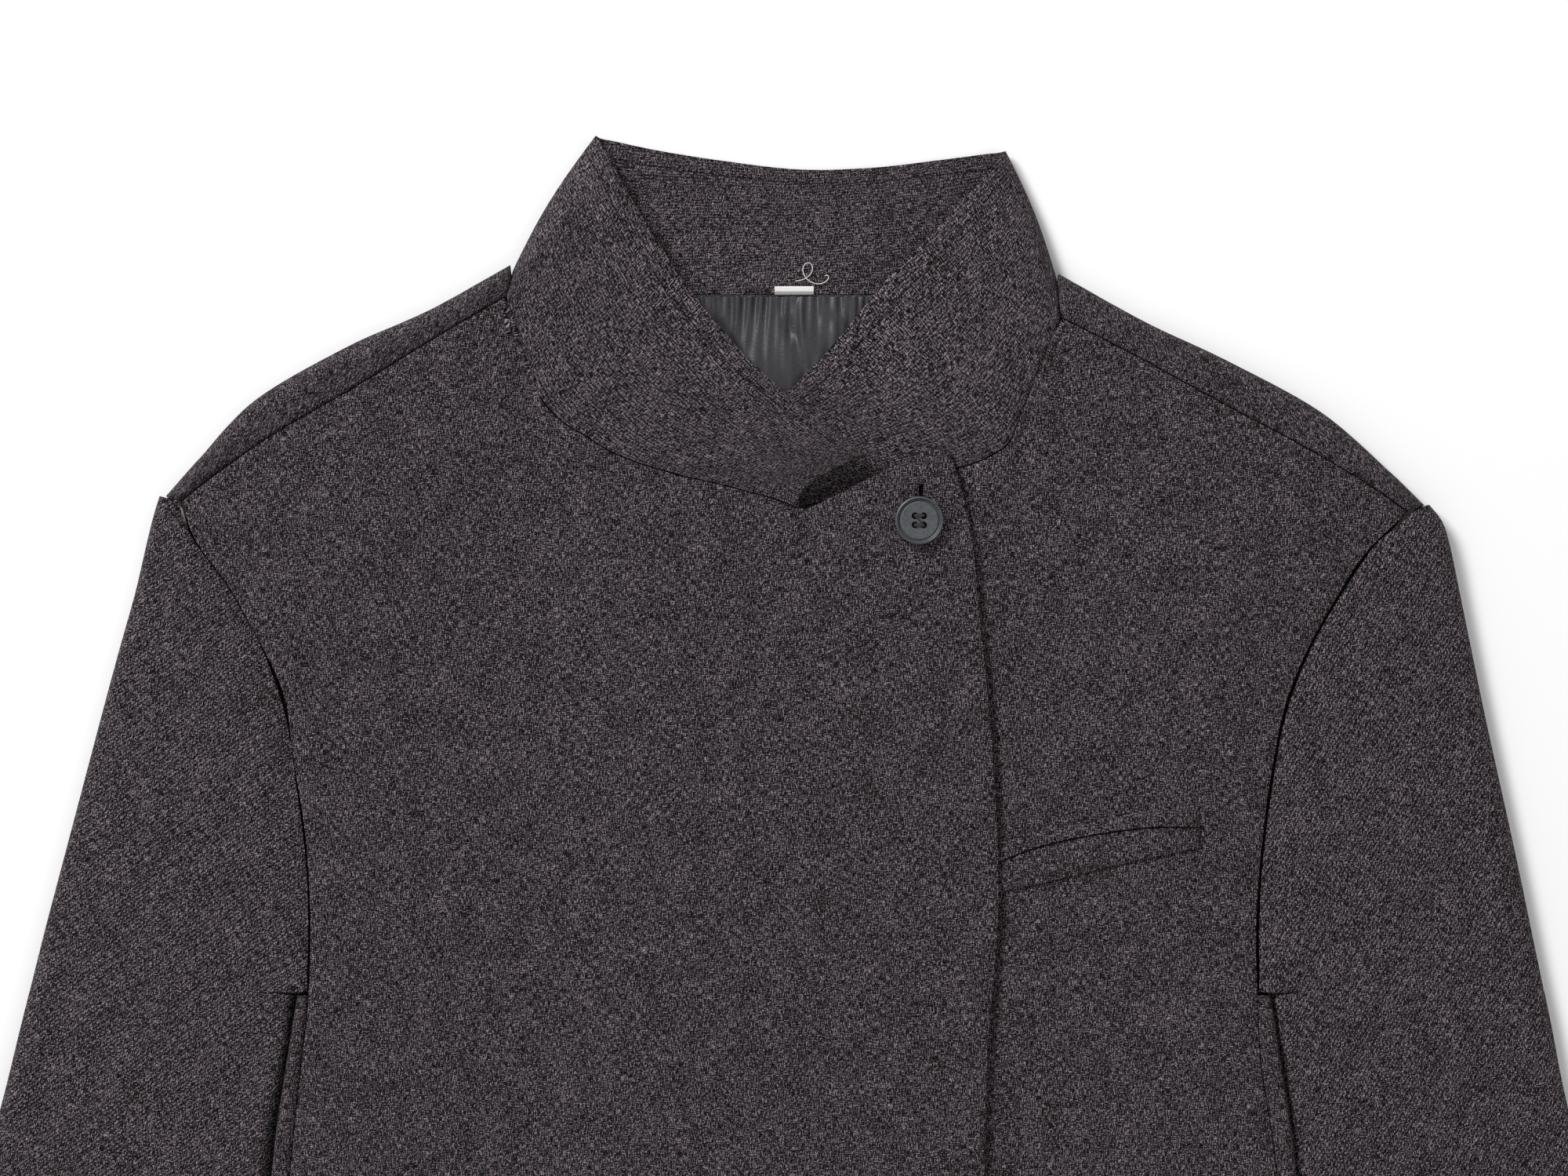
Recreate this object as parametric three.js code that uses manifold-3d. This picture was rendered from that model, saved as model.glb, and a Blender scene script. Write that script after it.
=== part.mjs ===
// A mao jacket laid flat on its back, front side up, in millimetres.
// X runs across the jacket, Y from the hem to the collar, Z up from the surface that it lies on.
// The wearer's right front (at negative X) wraps over the left one and is held by one button.

import * as THREE from "three";
import { mergeVertices } from "three/addons/utils/BufferGeometryUtils.js";
import Module from "manifold-3d";

const wasm = await Module();
wasm.setup();

// Driving sizes
const CLOTH = 1.8; // wool cloth with the interlining behind it
const SEAM = 0.3; // space between two sewn pieces
const HEM_Y = -385.8;
const SIDE_TOP_Y = 56.5; // foot of the armholes, where the side panels start
const CHEST_HEIGHT = 6; // top of the under front where it lies flattest
const OVERLAP_STEP = 3.6; // how far the over front lies above the under front
const FOLD_HEIGHT = 13; // thickness of the soft fold along the shoulder
const FOLD_REACH = 6.5; // how far that fold rounds off, seen from above
const FOLD_SHARE = 0.75; // and the largest part of the strip beyond the seam that it may take
const TUCK_HEIGHT = 4.4; // top of the flattened stretch of sleeve under the body's side
const SIDE_LIFT = 5; // underside of the side panel where it lies on that stretch

const EVEN_FROM = 0.35; // share of its length below which a body panel's columns are evenly spaced

const LEFT = 1; // the wearer's left, at positive X
const RIGHT = -1;

// Shoulder, from the sleeve head to the collar: the sewn seam and the fold beyond it.
const SHOULDER = {
  [RIGHT]: [
    { seamX: 230.4, seamY: 245.6, foldX: 236.8, foldY: 247.6, top: 11.5 },
    { seamX: 217.0, seamY: 256.0, foldX: 224.5, foldY: 261.5, top: 12.2 },
    { seamX: 195.0, seamY: 271.2, foldX: 202.5, foldY: 284.5, top: 12.8 },
    { seamX: 162.0, seamY: 290.4, foldX: 167.5, foldY: 304.8, top: 13.0 },
    { seamX: 132.0, seamY: 308.8, foldX: 136.0, foldY: 318.9, top: 13.0 },
    { seamX: 106.6, seamY: 323.6, foldX: 104.9, foldY: 336.2, top: 12.6 },
  ],
  [LEFT]: [
    { seamX: 238.2, seamY: 241.6, foldX: 245.2, foldY: 244.2, top: 11.5 },
    { seamX: 222.0, seamY: 252.8, foldX: 231.0, foldY: 258.0, top: 12.2 },
    { seamX: 197.0, seamY: 267.4, foldX: 205.5, foldY: 280.0, top: 12.8 },
    { seamX: 165.0, seamY: 284.4, foldX: 170.5, foldY: 299.2, top: 13.0 },
    { seamX: 135.0, seamY: 300.8, foldX: 138.8, foldY: 314.2, top: 13.0 },
    { seamX: 106.2, seamY: 315.6, foldX: 105.2, foldY: 332.8, top: 12.6 },
  ],
};

// Side of each front, from the shoulder seam down the armhole and the side seam to the hem.
const FRONT_SIDE = {
  [RIGHT]: [
    { y: 245.6, x: 230.4, top: 11.5 },
    { y: 231.0, x: 225.0, top: 11.2 },
    { y: 215.0, x: 213.4, top: 10.8 },
    { y: 196.0, x: 202.6, top: 10.4 },
    { y: 173.0, x: 191.7, top: 10.0 },
    { y: 148.0, x: 187.8, top: 9.8 },
    { y: 118.0, x: 183.2, top: 9.8 },
    { y: 88.0, x: 181.3, top: 10.0 },
    { y: SIDE_TOP_Y, x: 181.9, top: 10.4 },
    { y: 30.0, x: 184.6, top: 10.4 },
    { y: 0.0, x: 187.8, top: 10.4 },
    { y: -60.0, x: 192.4, top: 10.4 },
    { y: -130.0, x: 196.6, top: 10.2 },
    { y: -210.0, x: 202.2, top: 9.6 },
    { y: -300.0, x: 206.8, top: 8.8 },
    { y: HEM_Y, x: 211.0, top: 8.4 },
  ],
  [LEFT]: [
    { y: 241.6, x: 238.2, top: 11.5 },
    { y: 227.4, x: 223.5, top: 11.2 },
    { y: 205.0, x: 208.8, top: 10.8 },
    { y: 188.7, x: 200.0, top: 10.4 },
    { y: 169.5, x: 192.3, top: 10.0 },
    { y: 150.6, x: 188.0, top: 9.8 },
    { y: 121.0, x: 183.6, top: 9.8 },
    { y: 88.0, x: 180.8, top: 10.0 },
    { y: SIDE_TOP_Y, x: 181.0, top: 10.4 },
    { y: 30.0, x: 182.4, top: 10.4 },
    { y: 0.0, x: 187.0, top: 10.4 },
    { y: -60.0, x: 193.0, top: 10.4 },
    { y: -130.0, x: 197.4, top: 10.2 },
    { y: -210.0, x: 202.0, top: 9.6 },
    { y: -300.0, x: 206.8, top: 8.8 },
    { y: HEM_Y, x: 211.0, top: 8.4 },
  ],
};

// Below the armhole: the body's side fold, and the seam between back and side panel on the underside.
const BODY_SIDE = [
  { y: SIDE_TOP_Y, fold: 186.4, backSeam: 168 },
  { y: 44, fold: 188.4, backSeam: 157 },
  { y: 25, fold: 191.4, backSeam: 148 },
  { y: 0, fold: 195.0, backSeam: 141 },
  { y: -60, fold: 199.4, backSeam: 137 },
  { y: -130, fold: 203.2, backSeam: 137 },
  { y: -210, fold: 207.4, backSeam: 139 },
  { y: -300, fold: 212.0, backSeam: 143 },
  { y: HEM_Y, fold: 216.4, backSeam: 147 },
];

// Neck, a row for each rib of the collar in front: the neck seam with the height of its top, from the
// shoulder seam to the front end, and the point that the rib reaches on the collar's free edge.
const NECK = {
  [RIGHT]: [
    { x: -106.0, y: 323.9, top: 12.6, edgeX: -67.4, edgeY: 378.4, edgeTop: 11.8 },
    { x: -105.4, y: 315.0, top: 12.4, edgeX: -64.0, edgeY: 371.4, edgeTop: 12.6 },
    { x: -101.2, y: 303.5, top: 12.2, edgeX: -57.4, edgeY: 359.6, edgeTop: 13.0 },
    { x: -94.2, y: 287.0, top: 12.0, edgeX: -48.0, edgeY: 344.4, edgeTop: 13.2 },
    { x: -86.0, y: 277.0, top: 11.8, edgeX: -37.0, edgeY: 327.8, edgeTop: 13.4 },
    { x: -76.2, y: 270.6, top: 11.7, edgeX: -25.8, edgeY: 313.8, edgeTop: 13.4 },
    { x: -62.0, y: 262.6, top: 11.6, edgeX: -13.0, edgeY: 299.4, edgeTop: 13.6 },
    { x: -41.7, y: 256.0, top: 11.4, edgeX: 0.4, edgeY: 287.2, edgeTop: 14.2 },
    { x: -22.8, y: 251.6, top: 11.2, edgeX: 13.0, edgeY: 277.0, edgeTop: 15.4 },
    { x: -5.0, y: 246.8, top: 11.0, edgeX: 24.5, edgeY: 268.2, edgeTop: 17.0 },
    { x: 5.4, y: 243.0, top: 11.0, edgeX: 31.2, edgeY: 263.4, edgeTop: 17.8 },
  ],
  [LEFT]: [
    { x: 105.6, y: 316.0, top: 12.4, edgeX: 80.6, edgeY: 374.4, edgeTop: 11.4 },
    { x: 104.0, y: 309.0, top: 11.8, edgeX: 75.2, edgeY: 368.2, edgeTop: 11.6 },
    { x: 99.6, y: 298.2, top: 10.9, edgeX: 64.4, edgeY: 356.0, edgeTop: 11.3 },
    { x: 93.3, y: 282.3, top: 9.9, edgeX: 51.2, edgeY: 342.2, edgeTop: 10.6 },
    { x: 86.4, y: 268.4, top: 9.1, edgeX: 37.0, edgeY: 328.0, edgeTop: 9.8 },
    { x: 78.0, y: 262.4, top: 8.5, edgeX: 25.4, edgeY: 313.4, edgeTop: 9.2 },
    { x: 68.4, y: 258.8, top: 7.4, edgeX: 13.4, edgeY: 299.6, edgeTop: 8.8 },
    { x: 48.0, y: 253.0, top: 5.9, edgeX: 2.4, edgeY: 289.0, edgeTop: 8.4 },
    { x: 26.0, y: 248.0, top: 5.2, edgeX: -8.0, edgeY: 280.6, edgeTop: 8.2 },
    { x: 8.0, y: 244.0, top: 5.2, edgeX: -19.0, edgeY: 272.0, edgeTop: 8.1 },
    { x: -2.0, y: 242.5, top: 5.4, edgeX: -25.0, edgeY: 266.0, edgeTop: 8.0 },
  ],
};

// Top edge of each front beyond its neck seam, out to the corner of its front edge.
const FRONT_TOP = {
  [RIGHT]: [
    { x: 9.0, y: 242.6, top: 10.8 },
    { x: 21.0, y: 248.4, top: 10.8 },
    { x: 34.5, y: 255.3, top: 10.8 },
    { x: 48.0, y: 261.8, top: 10.8 },
    { x: 57.0, y: 265.4, top: 10.8 },
    { x: 62.8, y: 264.8, top: 10.8 },
  ],
  [LEFT]: [
    { x: -8.0, y: 241.6, top: 5.5 },
    { x: -20.0, y: 244.4, top: 5.8 },
    { x: -34.0, y: 248.6, top: 6.0 },
    { x: -48.0, y: 252.6, top: 6.2 },
  ],
};

// Front edge of each front, from that corner down to the hem.
const FRONT_EDGE = {
  [RIGHT]: [
    { y: 264.8, x: 62.8 },
    { y: 257.0, x: 65.8 },
    { y: 239.0, x: 70.5 },
    { y: 200.0, x: 75.0 },
    { y: 135.0, x: 80.7 },
    { y: 90.0, x: 82.0 },
    { y: 40.0, x: 78.2 },
    { y: 0.0, x: 76.8 },
    { y: -120.0, x: 76.0 },
    { y: -250.0, x: 74.5 },
    { y: HEM_Y, x: 73.0 },
  ],
  [LEFT]: [
    { y: 252.6, x: -48.0 },
    { y: 200.0, x: -49.5 },
    { y: 0.0, x: -50.0 },
    { y: HEM_Y, x: -50.0 },
  ],
};

// Sleeve, a row for each section from the head to the cuff: its outer fold and, above the armhole's
// foot, the armhole; below it, its inner fold, part of which is tucked under the body's side.
const SLEEVE = {
  [RIGHT]: [
    { outX: 239.2, outY: 247.6, inX: 231.0, inY: 245.2, top: 11.4 },
    { outX: 241.6, outY: 240.0, inX: 228.4, inY: 237.4, top: 11.4 },
    { outX: 244.4, outY: 229.0, inX: 224.2, inY: 229.0, top: 11.4 },
    { outX: 248.6, outY: 211.0, inX: 211.2, inY: 211.0, top: 11.3 },
    { outX: 255.2, outY: 187.5, inX: 198.4, inY: 187.5, top: 11.2 },
    { outX: 262.2, outY: 161.5, inX: 189.8, inY: 161.5, top: 11.1 },
    { outX: 269.6, outY: 133.5, inX: 185.6, inY: 133.5, top: 11.0 },
    { outX: 276.6, outY: 107.0, inX: 182.3, inY: 107.0, top: 11.0 },
    { outX: 283.2, outY: 82.0, inX: 181.4, inY: 82.0, top: 11.0 },
    { outX: 289.2, outY: 58.0, inX: 181.8, inY: 58.0, top: 11.0 },
    { outX: 289.6, outY: 56.6, inX: 179.0, inY: 56.6, top: 11.0 },
    { outX: 293.0, outY: 43.0, inX: 171.0, inY: 41.0, top: 11.0 },
    { outX: 297.6, outY: 24.0, inX: 163.0, inY: 20.0, top: 11.0 },
    { outX: 303.6, outY: 0.0, inX: 157.0, inY: -8.0, top: 11.0 },
    { outX: 316.0, outY: -55.0, inX: 161.0, inY: -77.0, top: 11.0 },
    { outX: 329.0, outY: -115.0, inX: 176.0, inY: -146.0, top: 10.8 },
    { outX: 341.0, outY: -172.0, inX: 197.0, inY: -205.0, top: 10.6 },
    { outX: 346.0, outY: -197.0, inX: 208.0, inY: -230.0, top: 10.4 },
    { outX: 351.5, outY: -226.0, inX: 216.0, inY: -258.0, top: 10.2 },
    { outX: 362.5, outY: -287.0, inX: 231.0, inY: -318.0, top: 9.6 },
    { outX: 372.0, outY: -345.0, inX: 245.6, inY: -375.3, top: 9.0 },
  ],
  [LEFT]: [
    { outX: 247.2, outY: 244.3, inX: 238.9, inY: 241.2, top: 11.4 },
    { outX: 252.2, outY: 238.0, inX: 234.9, inY: 236.4, top: 11.4 },
    { outX: 255.2, outY: 229.0, inX: 225.6, inY: 229.0, top: 11.4 },
    { outX: 259.0, outY: 211.0, inX: 213.4, inY: 211.0, top: 11.3 },
    { outX: 263.8, outY: 187.5, inX: 200.2, inY: 187.5, top: 11.2 },
    { outX: 269.2, outY: 161.5, inX: 190.9, inY: 161.5, top: 11.1 },
    { outX: 275.4, outY: 133.5, inX: 185.9, inY: 133.5, top: 11.0 },
    { outX: 281.2, outY: 107.0, inX: 182.6, inY: 107.0, top: 11.0 },
    { outX: 286.4, outY: 82.0, inX: 181.2, inY: 82.0, top: 11.0 },
    { outX: 291.4, outY: 58.0, inX: 181.2, inY: 58.0, top: 11.0 },
    { outX: 291.8, outY: 56.6, inX: 178.6, inY: 56.6, top: 11.0 },
    { outX: 294.6, outY: 43.0, inX: 170.0, inY: 41.0, top: 11.0 },
    { outX: 298.2, outY: 24.0, inX: 162.0, inY: 20.0, top: 11.0 },
    { outX: 303.6, outY: 0.0, inX: 157.0, inY: -8.0, top: 11.0 },
    { outX: 316.0, outY: -55.0, inX: 161.0, inY: -77.0, top: 11.0 },
    { outX: 329.0, outY: -115.0, inX: 176.0, inY: -146.0, top: 10.8 },
    { outX: 341.0, outY: -172.0, inX: 197.0, inY: -205.0, top: 10.6 },
    { outX: 346.0, outY: -197.0, inX: 208.0, inY: -230.0, top: 10.4 },
    { outX: 351.5, outY: -226.0, inX: 216.0, inY: -258.0, top: 10.2 },
    { outX: 362.5, outY: -287.0, inX: 231.0, inY: -318.0, top: 9.6 },
    { outX: 372.0, outY: -345.0, inX: 245.6, inY: -375.3, top: 9.0 },
  ],
};
const FIRST_TUCKED_ROW = 10; // the first sleeve section below the armhole's foot

// Collar at the side folds and the back of the neck, from the right side fold to the left one: the
// outside of the band, which faces down at the back, and how far a rib bows out at the side.
const COLLAR_THICKNESS = 2.2;
const COLLAR_BACK = [
  { x: -104.9, y: 328.4, top: 10.9, edgeX: -70.2, edgeY: 382.4, edgeTop: 9.8, bow: 1.4 },
  { x: -103.6, y: 334.6, top: 6.4, edgeX: -72.2, edgeY: 385.8, edgeTop: 6.0, bow: 2.2 },
  { x: -101.4, y: 331.4, top: 1.7, edgeX: -70.4, edgeY: 385.2, edgeTop: 1.3, bow: 1.6 },
  { x: -93.0, y: 326.2, top: 0, edgeX: -64.0, edgeY: 383.8, edgeTop: 0 },
  { x: -70.0, y: 325.4, top: 0, edgeX: -48.0, edgeY: 380.4, edgeTop: 0 },
  { x: -36.0, y: 325.2, top: 0, edgeX: -24.0, edgeY: 376.6, edgeTop: 0 },
  { x: 0.0, y: 325.2, top: 0, edgeX: 6.0, edgeY: 373.2, edgeTop: 0 },
  { x: 36.0, y: 325.2, top: 0, edgeX: 34.0, edgeY: 373.9, edgeTop: 0 },
  { x: 70.0, y: 325.4, top: 0, edgeX: 58.0, edgeY: 376.6, edgeTop: 0 },
  { x: 92.6, y: 326.0, top: 0, edgeX: 76.6, edgeY: 379.0, edgeTop: 0 },
  { x: 101.6, y: 330.4, top: 1.7, edgeX: 82.8, edgeY: 379.8, edgeTop: 1.3, bow: 1.2 },
  { x: 103.8, y: 332.8, top: 6.4, edgeX: 85.0, edgeY: 379.8, edgeTop: 6.0, bow: 1.6 },
  { x: 105.0, y: 325.4, top: 10.9, edgeX: 83.4, edgeY: 377.6, edgeTop: 10.0, bow: 1.0 },
];

// Materials
const wool = new THREE.MeshStandardMaterial({ color: 0x413b3f, roughness: 0.95, metalness: 0 });
const sleeveWool = new THREE.MeshStandardMaterial({ color: 0x3f3b3e, roughness: 0.95, metalness: 0 });
const satin = new THREE.MeshStandardMaterial({ color: 0x444348, roughness: 0.4, metalness: 0 });
const whiteTape = new THREE.MeshStandardMaterial({ color: 0xe6e4e0, roughness: 0.8, metalness: 0 });
const slateButton = new THREE.MeshStandardMaterial({ color: 0x5c6366, roughness: 0.5, metalness: 0 });
const darkThread = new THREE.MeshStandardMaterial({ color: 0x1d1c20, roughness: 0.8, metalness: 0 });

const jacket = new THREE.Group();

const lerp = THREE.MathUtils.lerp;
const smoothstep = THREE.MathUtils.smoothstep;

// One column of a table at a station, on a smooth curve through its rows.
function read(table, key, column, station) {
  const sign = Math.sign(table[table.length - 1][key] - table[0][key]);
  const last = table.length - 1;
  if (sign * (station - table[0][key]) <= 0) return table[0][column];
  if (sign * (station - table[last][key]) >= 0) return table[last][column];
  const i = table.findIndex((row) => sign * (row[key] - station) > 0) - 1;
  const slope = (a, b) => (table[b][column] - table[a][column]) / (table[b][key] - table[a][key]);
  const tangent = (k) => {
    if (k === 0) return slope(0, 1);
    if (k === last) return slope(last - 1, last);
    return (slope(k - 1, k) + slope(k, k + 1)) / 2;
  };
  const span = table[i + 1][key] - table[i][key];
  const t = (station - table[i][key]) / span;
  const rise = t * t * (3 - 2 * t);
  return (
    lerp(table[i][column], table[i + 1][column], rise) +
    span * t * (1 - t) * ((1 - t) * tangent(i) - t * tangent(i + 1))
  );
}

// The same for rows that are counted, not measured: "at" is a row number and may lie between two rows.
function readRow(table, column, at) {
  const counted = table.map((row, index) => ({ index, value: row[column] }));
  return read(counted, "index", "value", at);
}

// A wall of cloth: a grid of outer points and the same grid moved in by the thickness, closed round its
// borders. The next row crossed with the next column points outwards. An upright wall, which lies
// almost level, is moved straight down, so that its borders stay upright beside their neighbours.
function clothWall(grid, thickness, { upright = false } = {}) {
  const rows = grid.length;
  const columns = grid[0].length;
  const row = (i) => THREE.MathUtils.clamp(i, 0, rows - 1);
  const column = (j) => THREE.MathUtils.clamp(j, 0, columns - 1);
  const inner = grid.map((points, i) =>
    points.map((point, j) => {
      const down = new THREE.Vector3().subVectors(grid[row(i + 1)][j], grid[row(i - 1)][j]);
      const across = new THREE.Vector3().subVectors(points[column(j + 1)], points[column(j - 1)]);
      const normal = new THREE.Vector3().crossVectors(down, across).normalize();
      if (upright) normal.set(0, 0, 1);
      return point.clone().addScaledVector(normal, -thickness);
    }),
  );
  const positions = [];
  const quad = (a, b, c, d) => {
    for (const p of [a, b, c, a, c, d]) positions.push(p.x, p.y, p.z);
  };
  const lastRow = rows - 1;
  const lastColumn = columns - 1;
  for (let i = 0; i < lastRow; i++)
    for (let j = 0; j < lastColumn; j++) {
      quad(grid[i][j], grid[i + 1][j], grid[i + 1][j + 1], grid[i][j + 1]);
      quad(inner[i][j], inner[i][j + 1], inner[i + 1][j + 1], inner[i + 1][j]);
    }
  for (let j = 0; j < lastColumn; j++) {
    quad(grid[0][j], grid[0][j + 1], inner[0][j + 1], inner[0][j]);
    quad(grid[lastRow][j + 1], grid[lastRow][j], inner[lastRow][j], inner[lastRow][j + 1]);
  }
  for (let i = 0; i < lastRow; i++) {
    quad(grid[i + 1][0], grid[i][0], inner[i][0], inner[i + 1][0]);
    quad(grid[i][lastColumn], grid[i + 1][lastColumn], inner[i + 1][lastColumn], inner[i][lastColumn]);
  }
  const geometry = new THREE.BufferGeometry();
  geometry.setAttribute("position", new THREE.Float32BufferAttribute(positions, 3));
  return geometry;
}

// A closed geometry as a solid that can be cut, and back.
function toSolid(geometry) {
  const bare = geometry.clone();
  bare.deleteAttribute("normal");
  bare.deleteAttribute("uv");
  const merged = mergeVertices(bare, 1e-4);
  return new wasm.Manifold(
    new wasm.Mesh({
      numProp: 3,
      vertProperties: merged.attributes.position.array,
      triVerts: new Uint32Array(merged.index.array),
    }),
  );
}

function toGeometry(solid) {
  const mesh = solid.getMesh();
  const geometry = new THREE.BufferGeometry();
  geometry.setAttribute("position", new THREE.BufferAttribute(mesh.vertProperties, 3));
  geometry.setIndex(new THREE.BufferAttribute(mesh.triVerts, 1));
  return geometry.toNonIndexed();
}

function addPiece(name, geometry, material) {
  const shaded = geometry.clone();
  shaded.computeVertexNormals();
  const mesh = new THREE.Mesh(shaded, material);
  mesh.name = name;
  jacket.add(mesh);
}

// Rows of a panel at the side's table rows, plus one between each pair that lies far apart.
function stations(table, key, widest) {
  const list = [];
  for (let i = 0; i < table.length - 1; i++) {
    const steps = Math.ceil(Math.abs(table[i + 1][key] - table[i][key]) / widest);
    for (let s = 0; s < steps; s++) list.push(lerp(table[i][key], table[i + 1][key], s / steps));
  }
  list.push(table[table.length - 1][key]);
  return list;
}

// A point beside the neck seam, moved towards the collar's free edge (or away from it) by a distance.
function seamPoint(rib, distance) {
  const towards = new THREE.Vector2(rib.edgeX - rib.x, rib.edgeY - rib.y).setLength(distance);
  return { x: rib.x + towards.x, y: rib.y + towards.y, top: rib.top };
}

// Fronts

const NECK_GAP = 0.25; // half the space between the collar and a front
const ROW_SPACING = 92; // the widest step between two sections of a body panel
const NECK_DECAY = 62; // how fast the height at a front's top border dies away down the chest
const SIDE_DECAY = 62; // and the height at its side, towards the centre
const STEP_UP = { from: -95, to: -55 }; // where the over front rises on to the under front

// The outer points of a front: rows from the top border to the hem, columns from the side to the front.
function frontGrid(side) {
  const overlap = side === RIGHT;
  const shoulder = SHOULDER[side].map((row) => ({ x: side * row.seamX, y: row.seamY - SEAM, top: row.top }));
  const neck = NECK[side].slice(1).map((rib) => seamPoint(rib, -NECK_GAP));
  const topBorder = [...shoulder, ...neck, ...FRONT_TOP[side]];
  const rows = stations(FRONT_SIDE[side], "y", ROW_SPACING);
  const firstX = topBorder[0].x;
  const lastX = topBorder[topBorder.length - 1].x;
  return rows.map((rowY) => {
    const depth = (rows[0] - rowY) / (rows[0] - HEM_Y);
    return topBorder.map((start, j) => {
      const y = lerp(start.y, HEM_Y, depth);
      const sewn = (start.x - firstX) / (lastX - firstX);
      const across = lerp(sewn, j / (topBorder.length - 1), smoothstep(depth, 0, EVEN_FROM));
      const sideX = side * read(FRONT_SIDE[side], "y", "x", rowY);
      const edgeY = lerp(topBorder[topBorder.length - 1].y, HEM_Y, depth);
      const edgeX = read(FRONT_EDGE[side], "y", "x", edgeY);
      const x = lerp(sideX, edgeX, across);
      const topShare = Math.exp(-(((start.y - y) / NECK_DECAY) ** 2));
      const sideShare = Math.exp(-(((x - sideX) / SIDE_DECAY) ** 2));
      const step = overlap ? OVERLAP_STEP * smoothstep(x, STEP_UP.from, STEP_UP.to) : 0;
      const base = CHEST_HEIGHT + step;
      const sideTop = read(FRONT_SIDE[side], "y", "top", rowY);
      const z = base + (start.top - base) * topShare + (sideTop - base) * sideShare * (1 - topShare);
      return new THREE.Vector3(x, y, z);
    });
  });
}

// A grid whose next row crossed with its next column would point inwards is read backwards.
function facing(grid, flip) {
  return flip ? grid.map((row) => [...row].reverse()) : grid;
}

const rightFront = frontGrid(RIGHT);
const leftFront = frontGrid(LEFT);

// Buttonhole and button
const BUTTON = { x: 51.6, y: 238.2, radius: 9.5, thickness: 3.2, face: 2.2, holeRadius: 1.35, holeSpacing: 3.5 };
const BUTTONHOLE = { x: 52.4, top: 252.2, bottom: 232.2, width: 1.8, toolHeight: 30 };

const slitLength = BUTTONHOLE.top - BUTTONHOLE.bottom;
const slitTool = new THREE.BoxGeometry(BUTTONHOLE.width, slitLength, BUTTONHOLE.toolHeight);
slitTool.translate(BUTTONHOLE.x, BUTTONHOLE.bottom + slitLength / 2, BUTTONHOLE.toolHeight / 2);
const rightFrontCloth = toSolid(clothWall(rightFront, CLOTH, { upright: true }));
addPiece("front_right", toGeometry(rightFrontCloth.subtract(toSolid(slitTool))), wool);
addPiece("front_left", clothWall(facing(leftFront, true), CLOTH, { upright: true }), wool);

// Back, which wraps over the shoulder folds to the forward shoulder seams

const WRAP_STEPS = 7;
const ARC_STEPS = 8;
const BACK_SHELF_Y = 57.7; // where the back steps in from its armhole to the side panel's seam
const ARMHOLE_TWIST = 3.4; // the back armhole lies this far outside the front one
const BACK_NECK = [
  { x: 103.4, y: 322.6, turnsUp: true },
  { x: 96.0, y: 324.0 },
  { x: 80.0, y: 324.5 },
  { x: 55.0, y: 324.7 },
  { x: 28.0, y: 324.7 },
  { x: 0.0, y: 324.7 },
];
const NECK_STRIP = 3; // length of the flat stretch of back just below its neck seam
const NECK_TURN = { endOut: 2, endZ: 4.55, kneeOut: 0.6, kneeZ: 1.2 }; // the corner that turns up

// A path over the shoulder fold at a row of its table: from the seam on top, round, to the underside.
function shoulderPath(side, at) {
  const table = SHOULDER[side];
  const seam = new THREE.Vector2(side * readRow(table, "seamX", at), readRow(table, "seamY", at));
  const fold = new THREE.Vector2(side * readRow(table, "foldX", at), readRow(table, "foldY", at));
  const outward = fold.clone().sub(seam).normalize();
  const reach = Math.min(FOLD_REACH, fold.distanceTo(seam) * FOLD_SHARE);
  const path = [new THREE.Vector3(seam.x, seam.y + SEAM / 2, readRow(table, "top", at))];
  for (let k = 0; k <= ARC_STEPS; k++) {
    const angle = Math.PI / 2 - (Math.PI * k) / ARC_STEPS;
    const inset = reach * (1 - Math.cos(angle));
    const height = (FOLD_HEIGHT / 2) * (1 + Math.sin(angle));
    path.push(new THREE.Vector3(fold.x - outward.x * inset, fold.y - outward.y * inset, height));
  }
  return path;
}

// Points at equal steps along a path.
function spread(path, count) {
  const curve = new THREE.CurvePath();
  for (let k = 0; k < path.length - 1; k++) curve.add(new THREE.LineCurve3(path[k], path[k + 1]));
  return Array.from({ length: count }, (unused, k) => curve.getPointAt(k / (count - 1)));
}

// Where the back ends at the side: at the armhole, and below it at the seam with the side panel.
function backBorderX(side, y) {
  if (y > BACK_SHELF_Y) return read(SLEEVE[side], "inY", "inX", y) + ARMHOLE_TWIST;
  return read(BODY_SIDE, "y", "backSeam", y) - SEAM / 2;
}

// Sections of the back below its shoulder folds: those of the armhole, then those of the side panels.
function backRows() {
  const armhole = SLEEVE[RIGHT].slice(2, FIRST_TUCKED_ROW).map((row) => row.inY);
  return [...armhole, BACK_SHELF_Y, ...sidePanelRows(RIGHT)];
}

function sidePanelRows(side) {
  return stations(FRONT_SIDE[side], "y", ROW_SPACING).filter((y) => y < SIDE_TOP_Y);
}

// The top of a column of the back that starts at the neck seam, which turns up beside the shoulder.
function neckPath(side, { x, y, turnsUp }) {
  const seam = new THREE.Vector3(side * x, y, 0);
  const path = [seam, new THREE.Vector3(side * x, y - NECK_STRIP, 0)];
  if (!turnsUp) return path;
  const end = new THREE.Vector3(side * x, y + NECK_TURN.endOut, NECK_TURN.endZ);
  const knee = new THREE.Vector3(side * x, y + NECK_TURN.kneeOut, NECK_TURN.kneeZ);
  return [end, knee, ...path];
}

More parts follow.
